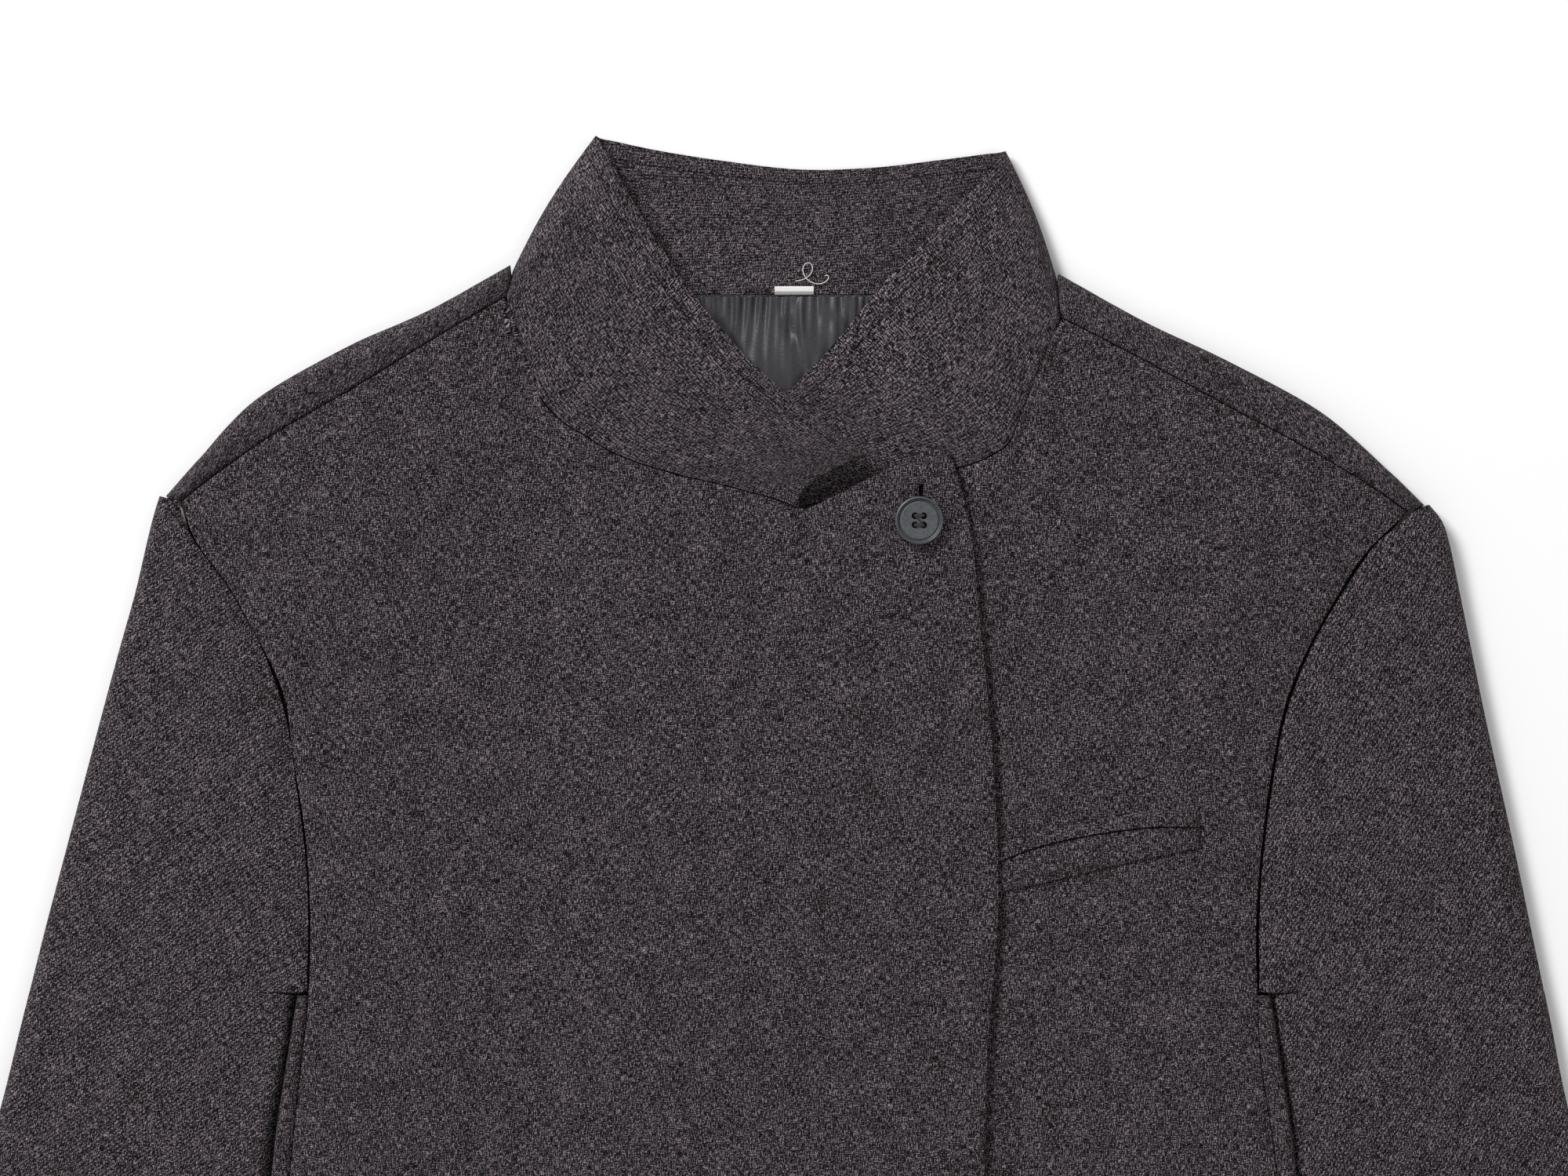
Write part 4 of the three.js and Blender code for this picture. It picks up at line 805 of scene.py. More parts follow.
@dataclass
class Front:
    """One front panel, from its shoulder and neck seams to the hem."""

    side: Side
    cut: Cut
    creases: Sequence[Crease]
    step: float = FINE_STEP
    min_parts: int = 5
    calm_reach: float = 14.0
    edge_lift: tuple[float, float] = (1.3, 7.0)
    dip_beside: float = 1.0
    dip_width: float = 2.2
    dip_depth: float = 1.0
    dip_end: tuple[float, float] = (252.0, 264.0)
    points: Array = field(init=False)

    def _border(self) -> tuple[Array, Array, Array, Array]:
        """Return the panel's top border: share in table rows, x, y and height."""
        sign = self.side.value
        shoulder, neck, top = SHOULDER[self.side], NECK[self.side], FRONT_TOP[self.side]
        keys: list[Array] = []

        def sampled(count: int, read: Callable[[Array], Array], first: int) -> None:
            ends = read(np.arange(count, dtype=float))
            at: list[float] = []
            for k in range(count - 1):
                apart = float(np.linalg.norm(ends[k + 1, :2] - ends[k, :2]))
                parts = max(self.min_parts, round(apart / self.step))
                at.extend(k + np.arange(parts) / parts)
            at.append(count - 1.0)
            stations = np.array(at)
            keys.append(np.column_stack([stations + first, read(stations)]))

        def on_shoulder(at: Array) -> Array:
            columns = (sign * shoulder.by_row("seam_x", at), shoulder.by_row("seam_y", at) - SEAM)
            return np.column_stack([*columns, shoulder.by_row("top", at)])

        def on_neck(at: Array) -> Array:
            x, y = neck.by_row("x", at + 1), neck.by_row("y", at + 1)
            away = np.column_stack([neck.by_row("edge_x", at + 1) - x, neck.by_row("edge_y", at + 1) - y])
            away *= NECK_GAP / np.linalg.norm(away, axis=1)[:, None]
            return np.column_stack([x - away[:, 0], y - away[:, 1], neck.by_row("top", at + 1)])

        def on_top(at: Array) -> Array:
            return np.column_stack([top.by_row("x", at), top.by_row("y", at), top.by_row("top", at)])

        sampled(len(shoulder), on_shoulder, 0)
        sampled(len(neck) - 1, on_neck, len(shoulder))
        sampled(len(top), on_top, len(shoulder) + len(neck) - 1)
        for place in (2, 1):
            before, after = keys[place - 1][-1], keys[place][0]
            keys.insert(place, lerp(before, after, np.array([[0.25], [0.5], [0.75]])))
        border = self._close_ends(np.concatenate(keys))
        return border[:, 0], border[:, 1], border[:, 2], border[:, 3]

    @staticmethod
    def _close_ends(border: Array) -> Array:
        """Add close columns beside the panel's two long borders."""
        shares = np.array([[0.12], [0.3], [0.6]])
        first = lerp(border[0], border[1], shares)
        last = lerp(border[-2], border[-1], 1 - shares[::-1])
        return np.concatenate([border[:1], first, border[1:-1], last, border[-1:]])

    def build(self) -> bpy.types.Object:
        """Build the panel."""
        sign = self.side.value
        at, start_x, start_y, start_top = self._border()
        rows = body_rows(FRONT_SIDE[self.side].rows[0][0], self.step)[:, None]
        depth = (rows[0] - rows) / (rows[0] - HEM_Y)
        y = lerp(start_y, HEM_Y, depth)
        sewn = (start_x - start_x[0]) / (start_x[-1] - start_x[0])
        across = lerp(sewn, at / at[-1], smoothstep(depth, 0.0, EVEN_FROM))
        side_x = sign * FRONT_SIDE[self.side].by("y", "x", rows)
        edge_y = lerp(start_y[-1], HEM_Y, depth)
        edge_x = FRONT_EDGE[self.side].by("y", "x", edge_y)
        x = lerp(side_x, edge_x, across)
        top_share = np.exp(-(((start_y - y) / NECK_DECAY) ** 2))
        side_share = np.exp(-(((x - side_x) / SIDE_DECAY) ** 2))
        over = OVERLAP_STEP * smoothstep(x, *STEP_UP) if self.side is Side.RIGHT else 0.0
        base = CHEST_HEIGHT + over
        side_top = FRONT_SIDE[self.side].by("y", "top", rows)
        z = base + (start_top - base) * top_share + (side_top - base) * side_share * (1 - top_share)
        inside = np.minimum(np.minimum(np.abs(x - side_x), np.abs(edge_x - x)), start_y - y)
        calm = smoothstep(inside, 0.0, self.calm_reach)
        z = z + calm * (relief(self.creases, x, y) + swell(x, y, 1.3 * sign))
        z = z - pressed_edge(np.abs(x - side_x), *SIDE_SEAM_DIP) - pressed_edge(start_y - y, *NECK_SEAM_DIP)
        z = z - pressed_edge(np.abs(edge_x - x), *FRONT_EDGE_DIP) - pressed_edge(y - HEM_Y, *HEM_DIP)
        if self.side is Side.RIGHT:
            z = z + pressed_edge(np.abs(edge_x - x), *self.edge_lift)
        else:
            over_x = FRONT_EDGE[Side.RIGHT].by("y", "x", y)
            beside = np.exp(-(((x - over_x - self.dip_beside) / self.dip_width) ** 2))
            z = z - self.dip_depth * (beside * (1 - smoothstep(y, *self.dip_end)))
        self.points = np.stack(np.broadcast_arrays(x, y, z), axis=2)
        name = f"{self.side.name.lower()}_front_panel"
        return make_cloth(name, self.points, plan_uv(self.points), CLOTH, 1)

    def height_at(self, x: float, y: float) -> float:
        """Return the panel's height at a place seen from above, in millimetres."""
        apart = np.hypot(self.points[:, :, 0] - x, self.points[:, :, 1] - y)
        nearest = np.argsort(apart, axis=None)[:4]
        return float(self.points.reshape(-1, 3)[nearest, 2].mean())


# Back


@dataclass
class Back:
    """The back, which wraps over the shoulder folds to the shoulder seams in front."""

    cut: Cut
    creases: Sequence[Crease]
    wrap_points: int = 22
    arc_points: int = 14
    shoulder_columns: int = 48
    neck_step: float = 5.0
    corner_run: float = 8.0
    armhole_top_y: float = 229.0
    calm_reach: tuple[float, float] = (4.0, 20.0)
    dip_from: tuple[float, float] = (6.0, 10.0)

    def _shoulder_path(self, side: Side, at: float) -> Array:
        """Return the way over the shoulder fold, from the seam on top to the underside."""
        table, sign = SHOULDER[side], side.value
        seam = np.array([sign * float(table.by_row("seam_x", at)), float(table.by_row("seam_y", at))])
        fold = np.array([sign * float(table.by_row("fold_x", at)), float(table.by_row("fold_y", at))])
        apart = float(np.linalg.norm(fold - seam))
        outward = (fold - seam) / apart
        reach = min(FOLD_REACH, apart * FOLD_SHARE)
        path = [(seam[0], seam[1] + SEAM / 2, float(table.by_row("top", at)))]
        for angle in np.linspace(math.pi / 2, -math.pi / 2, self.arc_points):
            inset = reach * (1 - math.cos(angle))
            height = FOLD_HEIGHT / 2 * (1 + math.sin(angle))
            path.append((*(fold - outward * inset), height))
        last = len(table) - 1
        under = self.corner_run * float(smoothstep(at, last - 1.0, float(last)))
        if under:
            path.append((*(fold - outward * (reach + under)), 0.0))
        return resampled(np.array(path), self.wrap_points)

    def _neck_path(self, side: Side, place: int) -> Array:
        """Return the top of a column that starts at the neck seam."""
        x, y = BACK_NECK[place]
        path = [(side.value * x, y, 0.0), (side.value * x, y - NECK_STRIP, 0.0)]
        if place == 0:
            path = [(side.value * x, y + 2, FOLD_HEIGHT * 0.35), (side.value * x, y + 0.6, 1.2), *path]
        return resampled(np.array(path), self.wrap_points)

    def _tops(self, side: Side) -> list[Array]:
        """Return the tops of all columns of one half, from the armhole to the centre."""
        last = len(SHOULDER[side]) - 1
        wraps = [self._shoulder_path(side, at) for at in np.linspace(0.0, last, self.shoulder_columns)]
        keys = [wraps[-1]] + [self._neck_path(side, place) for place in range(len(BACK_NECK))]
        for before, after in zip(keys, keys[1:]):
            parts = max(2, round(float(np.linalg.norm(after[-1] - before[-1])) / self.neck_step))
            wraps += [lerp(before, after, (k + 1) / parts) for k in range(parts)]
        return wraps

    @staticmethod
    def _border_x(side: Side, y: Array) -> Array:
        """Return where the back ends at the side."""
        armhole = SLEEVE[side].by("in_y", "in_x", y) + ARMHOLE_TWIST
        return np.where(y > BACK_SHELF_Y - 0.01, armhole, BODY_SIDE.by("y", "back_seam", y) - SEAM / 2)

    def build(self) -> bpy.types.Object:
        """Build the panel."""
        wraps = np.array(self._tops(Side.RIGHT) + self._tops(Side.LEFT)[::-1][1:]).transpose(1, 0, 2)
        foot = wraps[-1]
        even = np.linspace(0.0, 1.0, wraps.shape[1])
        armhole = graded(self.armhole_top_y, BACK_SHELF_Y, MEDIUM_STEP)
        rows = np.concatenate([armhole, graded(SIDE_TOP_Y - 1.2, HEM_Y, COARSE_STEP)])[:, None]
        sewn = (foot[:, 0] - foot[0, 0]) / (foot[-1, 0] - foot[0, 0])
        border_top = lerp(foot[0, 1], foot[-1, 1], even)
        share = (border_top - rows) / (border_top - HEM_Y)
        across = lerp(sewn, even, smoothstep(share, 0.0, EVEN_FROM))
        left, right = -self._border_x(Side.RIGHT, rows), self._border_x(Side.LEFT, rows)
        x = lerp(left, right, across)
        y = lerp(foot[:, 1], HEM_Y, share)
        inside = np.minimum(x - left, right - x)
        calm = smoothstep(np.minimum(inside, y - HEM_Y), *self.calm_reach)
        z = calm * np.maximum(relief(self.creases, x, y), 0.0)
        z = z + pressed_edge(inside, *UNDERSIDE_SEAM_DIP) + pressed_edge(y - HEM_Y, *UNDERSIDE_HEM_DIP)
        down = np.stack(np.broadcast_arrays(x, y, z), axis=2)
        points = np.concatenate([wraps, down], axis=0)
        points[: self.wrap_points, :, 2] -= self._seam_dip(points)
        return make_cloth("back_panel", points, measured_uv(points), CLOTH, -1)

    def _seam_dip(self, points: Array) -> Array:
        """Return how far the cloth dips along the shoulder seam."""
        wraps = points[: self.wrap_points]
        distance = np.linalg.norm(wraps - wraps[:1], axis=2)
        on_top = smoothstep(wraps[:1, :, 2], *self.dip_from)
        return pressed_edge(distance, *SEAM_DIP) * on_top


# Side panels


@dataclass
class SidePanel:
    """A side panel, from the front's seam round the body's fold to the back's seam."""

    side: Side
    cut: Cut
    fold_points: int = 12
    step: float = 4.0
    lift_range: tuple[float, float] = (1.0, 16.0)
    min_strip: float = 0.4
    seam_dip: float = 0.8
    past_sleeve: float = 1.5
    inside_fold: float = 14.0
    foot_length: float = 7.0
    foot_curve: Sequence[tuple[float, float]] = ((0.6, 0.6), (0.2, 0.12))

    def build(self) -> bpy.types.Object:
        """Build the panel."""
        rows = np.array([self._section(float(y)) for y in body_rows(SIDE_TOP_Y, self.step)])
        name = f"{self.side.name.lower()}_side_panel"
        return make_cloth(name, rows, measured_uv(rows), CLOTH, -1)

    def _section(self, y: float) -> Array:
        """Return one section's points."""
        fold = float(BODY_SIDE.by("y", "fold", y))
        back_seam = float(BODY_SIDE.by("y", "back_seam", y)) + SEAM / 2
        seam_x = float(FRONT_SIDE[self.side].by("y", "x", y)) + SEAM
        top = float(FRONT_SIDE[self.side].by("y", "top", y))
        sleeve_edge = float(SLEEVE[self.side].part(FIRST_TUCKED_ROW).by("in_y", "in_x", y))
        near, far = self.lift_range
        lift = SIDE_LIFT * (1 - float(smoothstep(sleeve_edge, fold + near, fold + far)))
        middle, half = (top + lift) / 2, (top - lift) / 2
        reach = min(half, fold - seam_x - self.min_strip)
        section = [(seam_x, top - self.seam_dip)]
        for angle in np.linspace(math.pi / 2, -math.pi / 2, self.fold_points):
            section.append((fold - reach * (1 - math.cos(angle)), middle + half * math.sin(angle)))
        foot = min(sleeve_edge - self.past_sleeve, fold - self.inside_fold)
        flat_to = max(back_seam + 1, foot - self.foot_length)
        section += [(lerp(foot, fold - reach, share), lift) for share in (0.65, 0.35, 0.0)]
        section += [(lerp(flat_to, foot, along), lift * height) for along, height in self.foot_curve]
        section += [(flat_to, 0.0), (back_seam, 0.0)]
        return np.array([(self.side.value * x, y, z) for x, z in section])


# Sleeves


@dataclass
class Sleeve:
    """A two-piece sleeve laid flat, tucked a little under the body's side."""

    side: Side
    top_cut: Cut
    under_cut: Cut
    creases: Sequence[Crease]
    under_creases: Sequence[Crease]
    fold_points: int = 11
    under_points: int = 10
    flat_points: int = 24
    flat_end: float = 0.96
    grain: float = 0.22
    clear_range: tuple[float, float] = (1.0, 9.0)
    clear_share: float = 0.8
    tucked_seam: float = 9.0
    min_seam_inset: float = 7.0
    foot_strip: float = 1.2
    strip_share: float = 0.8
    calm_reach: tuple[float, float] = (12.0, 16.0)
    under_calm: tuple[float, float] = (2.0, 14.0)

    def _stations(self, step: float) -> Array:
        """Return row numbers at even steps along the outer fold."""
        table = SLEEVE[self.side]
        out = np.column_stack([table.column("out_x"), table.column("out_y")])
        along = np.concatenate([[0.0], np.cumsum(np.linalg.norm(np.diff(out, axis=0), axis=1))])
        tucked = along[FIRST_TUCKED_ROW]
        upper = graded(0.0, along[FIRST_TUCKED_ROW - 1], step)
        lower = graded(tucked, along[-1], step)
        return np.interp(np.concatenate([upper, lower]), along, np.arange(len(table)))

    def _profile(self, at: float) -> dict[str, float]:
        """Return the sizes of one section."""
        table = SLEEVE[self.side]
        size = {name: float(table.by_row(name, at)) for name in table.names.split()}
        width = math.hypot(size["out_x"] - size["in_x"], size["out_y"] - size["in_y"])
        run = size["out_x"] - size["in_x"]
        body = float(BODY_SIDE.by("y", "fold", size["in_y"]))
        gap_y = lerp(size["in_y"], size["out_y"], (body - size["in_x"]) / run)
        fold = float(BODY_SIDE.by("y", "fold", gap_y))
        tucked = at >= FIRST_TUCKED_ROW
        if tucked:
            near, far = self.clear_range
            clear = float(smoothstep(size["in_x"], fold + near, fold + far))
            start = max((fold - self.tucked_seam - size["in_x"]) / run, self.min_seam_inset / width)
            gap = lerp(CREVICE_TOP, CREVICE, float(smoothstep(SIDE_TOP_Y - gap_y, 0.0, CREVICE_GROWTH)))
            size["start_top"] = lerp(TUCK_HEIGHT, size["top"] * self.clear_share, clear)
            size["rise_from"] = max((fold + CREVICE_FROM - size["in_x"]) / run, start)
            size["rise_to"] = max((fold + gap - size["in_x"]) / run, size["rise_from"] + MIN_RISE / width)
        else:
            armhole_top = float(FRONT_SIDE[self.side].by("y", "top", size["in_y"]))
            start = 0.0
            foot = float(smoothstep(size["in_y"], SIDE_TOP_Y, SIDE_TOP_Y + FOOT_BLEND))
            size["start_top"] = lerp(FOOT_TOP, armhole_top, foot)
            size["rise_from"] = 0.0
            size["rise_to"] = lerp(FOOT_RISE, ARMHOLE_RISE, foot)
        return {**size, "start": start, "width": width, "tucked": float(tucked)}

    @staticmethod
    def _height(size: dict[str, float], share: Array) -> Array:
        """Return how high the sleeve's upper side lies at shares of its width."""
        rise = smoothstep(share, size["rise_from"], size["rise_to"])
        dome = size["top"] + DOME * np.sin(np.pi * np.clip(share, 0.0, 1.0))
        return lerp(size["start_top"], dome, rise)

    def _place(self, size: dict[str, float], share: Array, z: Array) -> Array:
        """Return points at shares of the section's width."""
        x = self.side.value * lerp(size["in_x"], size["out_x"], share)
        y = lerp(size["in_y"], size["out_y"], share)
        return np.stack(np.broadcast_arrays(x, y, z), axis=1)

    def build_top(self) -> bpy.types.Object:
        """Build the top sleeve."""
        percent = graded(0.0, 100.0, 2.4)
        steps = np.concatenate([percent[: -len(BORDER_SHARES)] / 100.0, [0.985, 1.0]])
        rows = [self._top_section(self._profile(float(at)), steps) for at in self._stations(FINE_STEP)]
        points = np.array(rows)
        uv = wrapped_uv(points, len(steps) - 1, self.grain * self.side.value)
        return make_cloth(f"{self.side.name.lower()}_top_sleeve", points, uv, CLOTH, 1)

    def _top_section(self, size: dict[str, float], steps: Array) -> Array:
        """Return one section of the top sleeve."""
        width = size["width"]
        reach = min(OUTER_FOLD_REACH, width * OUTER_FOLD_SHARE)
        last = 1 - reach / width
        gap = (SEAM / 2 if size["tucked"] else 2 * SEAM) / width
        share = self._upper_shares(size, size["start"] + gap, last, steps)
        upper = self._place(size, share, self._height(size, share))
        x, y = upper[:, 0], upper[:, 1]
        near_seam, near_fold = self.calm_reach
        from_seam = (share - share[0]) * width
        calm = smoothstep(from_seam, 0.0, near_seam) * smoothstep((1 - share) * width, 0.0, near_fold)
        upper[:, 2] += calm * (relief(self.creases, x, y) + swell(x, y, 2.2))
        upper[:, 2] -= pressed_edge(from_seam, *SEAM_DIP)
        angle = np.linspace(math.pi / 2, -math.pi / 2, self.fold_points)[1:]
        edge = float(self._height(size, last))
        turned = self._place(size, last + reach * np.cos(angle) / width, edge / 2 * (1 + np.sin(angle)))
        seam = 1 - min(HINDARM_SEAM, width * HINDARM_SHARE) / width
        under = self._place(size, np.array([lerp(last, seam, 0.5), seam + SEAM / 2 / width]), 0.0)
        return np.concatenate([upper, turned, under])

    def _upper_shares(self, size: dict[str, float], start: float, last: float, steps: Array) -> Array:
        """Return the columns' shares of the width, with close columns on a tucked sleeve's rise."""
        if not size["tucked"]:
            return lerp(start, last, steps)
        width = size["width"]
        foot = max(size["rise_from"], start + self.foot_strip / width)
        head = max(size["rise_to"], foot + MIN_RISE / width)
        return np.interp(steps, [0.0, *RISE_STEPS, 1.0], [start, foot, head, last])

    def build_under(self) -> bpy.types.Object:
        """Build the under sleeve."""
        sections = [self._under_section(self._profile(float(at))) for at in self._stations(MEDIUM_STEP)]
        points = np.array(sections)
        uv = wrapped_uv(points, self.flat_points - 1, self.grain * self.side.value)
        return make_cloth(f"{self.side.name.lower()}_under_sleeve", points, uv, CLOTH, -1)

    def _under_section(self, size: dict[str, float]) -> Array:
        """Return one section of the under sleeve."""
        width = size["width"]
        seam = 1 - (min(HINDARM_SEAM, width * HINDARM_SHARE) + SEAM / 2) / width
        armhole = (ARMHOLE_TWIST + SEAM) / width
        reach = min(size["start_top"] * INNER_FOLD_SHARE, INNER_FOLD_REACH) / width
        strip_end = min(armhole + ARMHOLE_STRIP / width, lerp(armhole, seam, self.strip_share))
        turn = reach if size["tucked"] else strip_end
        share = lerp(seam, turn, np.linspace(0.0, self.flat_end, self.flat_points))
        flat = self._place(size, share, 0.0)
        calm = smoothstep((seam - share) * width, *self.under_calm)
        flat[:, 2] = calm * np.maximum(relief(self.under_creases, flat[:, 0], flat[:, 1]), 0.0)
        if not size["tucked"]:
            rest = lerp(turn, armhole, np.linspace(0.0, 1.0, self.under_points + 1))
            return np.concatenate([flat, self._place(size, rest, 0.0)])
        angle = np.linspace(-math.pi / 2, math.pi / 2, self.under_points)
        half = size["start_top"] / 2
        round_fold = self._place(size, reach * (1 - np.cos(angle)), half * (1 + np.sin(angle)))
        end = self._place(size, np.array([size["start"] - SEAM / 2 / width]), size["start_top"])
        return np.concatenate([flat, round_fold, end])


# Collar


@dataclass
class Collar:
    """The stand collar, one band whose right end lies on top."""

    cut: Cut
    creases: Sequence[Crease]
    band_steps: int = 26
    parts: int = 7
    end_hollow: float = 4.4
    hollow_ribs: float = 2.5
    top_from: tuple[float, float] = (5.0, 7.5)
    calm_reach: float = 8.0

    def _ribs(self) -> tuple[Array, Array, Array, Array]:
        """Return the foot and the free edge of every rib, and how far it bulges up and bows out."""
        names = "x y top edge_x edge_y edge_top".split()
        blocks, bulges = [], []
        for side in (Side.RIGHT, Side.LEFT):
            table = NECK[side]
            at = np.linspace(0.0, len(table) - 1, (len(table) - 1) * self.parts + 1)
            block = np.column_stack([table.by_row(name, at) for name in names])
            away = block[:, 3:5] - block[:, :2]
            block[:, :2] += away * (NECK_GAP / np.linalg.norm(away, axis=1))[:, None]
            blocks.append(block)
            bulges.append(np.full(len(at), COLLAR_BULGE))
        at = np.linspace(0.0, len(COLLAR_BACK) - 1, (len(COLLAR_BACK) - 1) * self.parts + 1)
        back = np.column_stack([COLLAR_BACK.by_row(name, at) for name in names])
        right, left = blocks[0][::-1], blocks[1]
        joints = np.linspace(0.2, 0.8, 4)[:, None]
        joined = [lerp(right[-1], back[0], joints), back, lerp(back[-1], left[0], joints)]
        ribs = np.concatenate([right, *joined, left])
        rising, falling = joints[:, 0], 1 - joints[:, 0]
        back_bulge = [COLLAR_BULGE * falling, np.zeros(len(at)), COLLAR_BULGE * rising]
        bulge = np.concatenate([bulges[0], *back_bulge, bulges[1]])
        side_bow = COLLAR_BACK.by_row("bow", at)
        back_bow = [side_bow[0] * rising, side_bow, side_bow[-1] * falling]
        bow = np.concatenate([np.zeros(len(right)), *back_bow, np.zeros(len(left))])
        return ribs[:, :3], ribs[:, 3:], bulge, bow * np.sign(ribs[:, 0])

    def build(self) -> bpy.types.Object:
        """Build the band."""
        foot, edge, bulge, bow = self._ribs()
        length = float(np.linalg.norm(edge - foot, axis=1).mean())
        share = (graded(0.0, length, length / self.band_steps) / length)[:, None]
        points = lerp(foot[None], edge[None], share[:, :, None])
        points[:, :, 2] += bulge * np.sin(np.pi * share)
        points[:, :, 0] += bow * np.sin(np.pi * share)
        columns = np.arange(points.shape[1])
        near_end = 1.0 - smoothstep(columns, 0.0, self.hollow_ribs * self.parts)
        hollow = self.end_hollow * near_end * np.sin(np.pi * share**0.6)
        run = edge[0, :2] - foot[0, :2]
        run /= np.linalg.norm(run)
        points[:, :, 0] -= hollow * run[1]
        points[:, :, 1] += hollow * run[0]
        x, y = points[:, :, 0], points[:, :, 1]
        on_top = smoothstep(points[:, :, 2], *self.top_from)
        calm = smoothstep(np.minimum(share, 1 - share) * length, 0.0, self.calm_reach)
        points[:, :, 2] += on_top * calm * relief(self.creases, x, y)
        dips = pressed_edge(share * length, *SEAM_DIP) + pressed_edge((1 - share) * length, *COLLAR_EDGE_DIP)
        points[:, :, 2] -= on_top * dips
        strides = np.linalg.norm(np.diff((foot + edge) / 2, axis=0), axis=1)
        along = np.concatenate([[0.0], np.cumsum(strides)])
        uv = np.stack(np.broadcast_arrays(along[None, :] * MM, share * length * MM), axis=2)
        return make_cloth("stand_collar", points, uv, COLLAR_THICKNESS, -1)


# Lining and label


@dataclass
class NeckLining:
    """The satin that shows in the neck opening, gathered into the neck seam."""

    cut: Cut
    creases: Sequence[Crease]
    half_width: float = 58.0
    narrowing: float = 0.25
    top_y: float = 324.2
    bottom_y: float = 262.0
    length: float = 62.0
    low: float = 4.2
    thickness: float = 1.0
    steps: tuple[float, float] = (0.8, 1.2)
    gather: float = 0.65
    gather_decay: float = 3.6
    pitch: float = 6.8
    pitch_change: float = 1.6
    fine: float = 0.8
    fine_decay: float = 6.0
    fine_pitch: float = 3.6
    pleat: float = 1.6
    pleat_x: float = 5.0
    pleat_slant: float = 9.0
    pleat_width: float = 1.3
    broad: float = 0.8

    def build(self) -> bpy.types.Object:
        """Build the gathered panel."""
        step_x, step_y = self.steps
        share = (graded(0.0, self.length, step_y) / self.length)[:, None]
        x = graded(-self.half_width, self.half_width, step_x)[None, :] * (1 - self.narrowing * share)
        y = lerp(self.top_y, self.bottom_y, share)
        z = self.low + self._gathers(x, share) + relief(self.creases, x, y * np.ones_like(x))
        points = np.stack(np.broadcast_arrays(x, y, z), axis=2)
        return make_cloth("neck_lining", points, plan_uv(points), self.thickness, 1)

    def _gathers(self, x: Array, share: Array) -> Array:
        """Return the height of the wide and fine gathers, the pleat and the broad waves below them."""
        fade = np.exp(-share * self.gather_decay)
        pitch = self.pitch + self.pitch_change * np.sin(x / 13.0)
        waver = 1.8 * np.sin(share * 7 + x / 9)
        wide = self.gather * fade * (1 + np.sin(x / pitch * math.tau + waver))
        turn = x / self.fine_pitch * math.tau + 2.0 * np.sin(x / 5.0) + 3.0 * share
        fine = self.fine * np.exp(-share * self.fine_decay) * np.sin(turn)
        off_pleat = (x - self.pleat_x - self.pleat_slant * share) / self.pleat_width
        pleat = self.pleat * np.exp(-(off_pleat**2)) * (1 - share)
        broad = self.broad * np.sin(x / 12.0 + 1.0 + 3.0 * share) * (1 - fade)
        return wide + fine + pleat + broad


@dataclass
class NeckLabel:
    """The bare white end of a label in the neck seam."""

    cut: Cut
    x: float = 3.9
    width: float = 15.0
    bottom_y: float = 324.9
    top_y: float = 328.2
    low: float = 3.2
    wave: float = 0.25
    rise: float = 0.4
    thickness: float = 0.5

    def build(self) -> bpy.types.Object:
        """Build the strip."""
        x = graded(self.x - self.width / 2, self.x + self.width / 2, 0.8, 0.8)[None, :]
        y = np.linspace(self.top_y, self.bottom_y, 9)[:, None]
        up = (y - self.bottom_y) / (self.top_y - self.bottom_y)
        z = self.low + self.wave * np.sin((x - self.x) / 3.1) + self.rise * up
        points = np.stack(np.broadcast_arrays(x, y, z), axis=2)
        return make_cloth("label_end", points, plan_uv(points), self.thickness, 1)


# Pocket


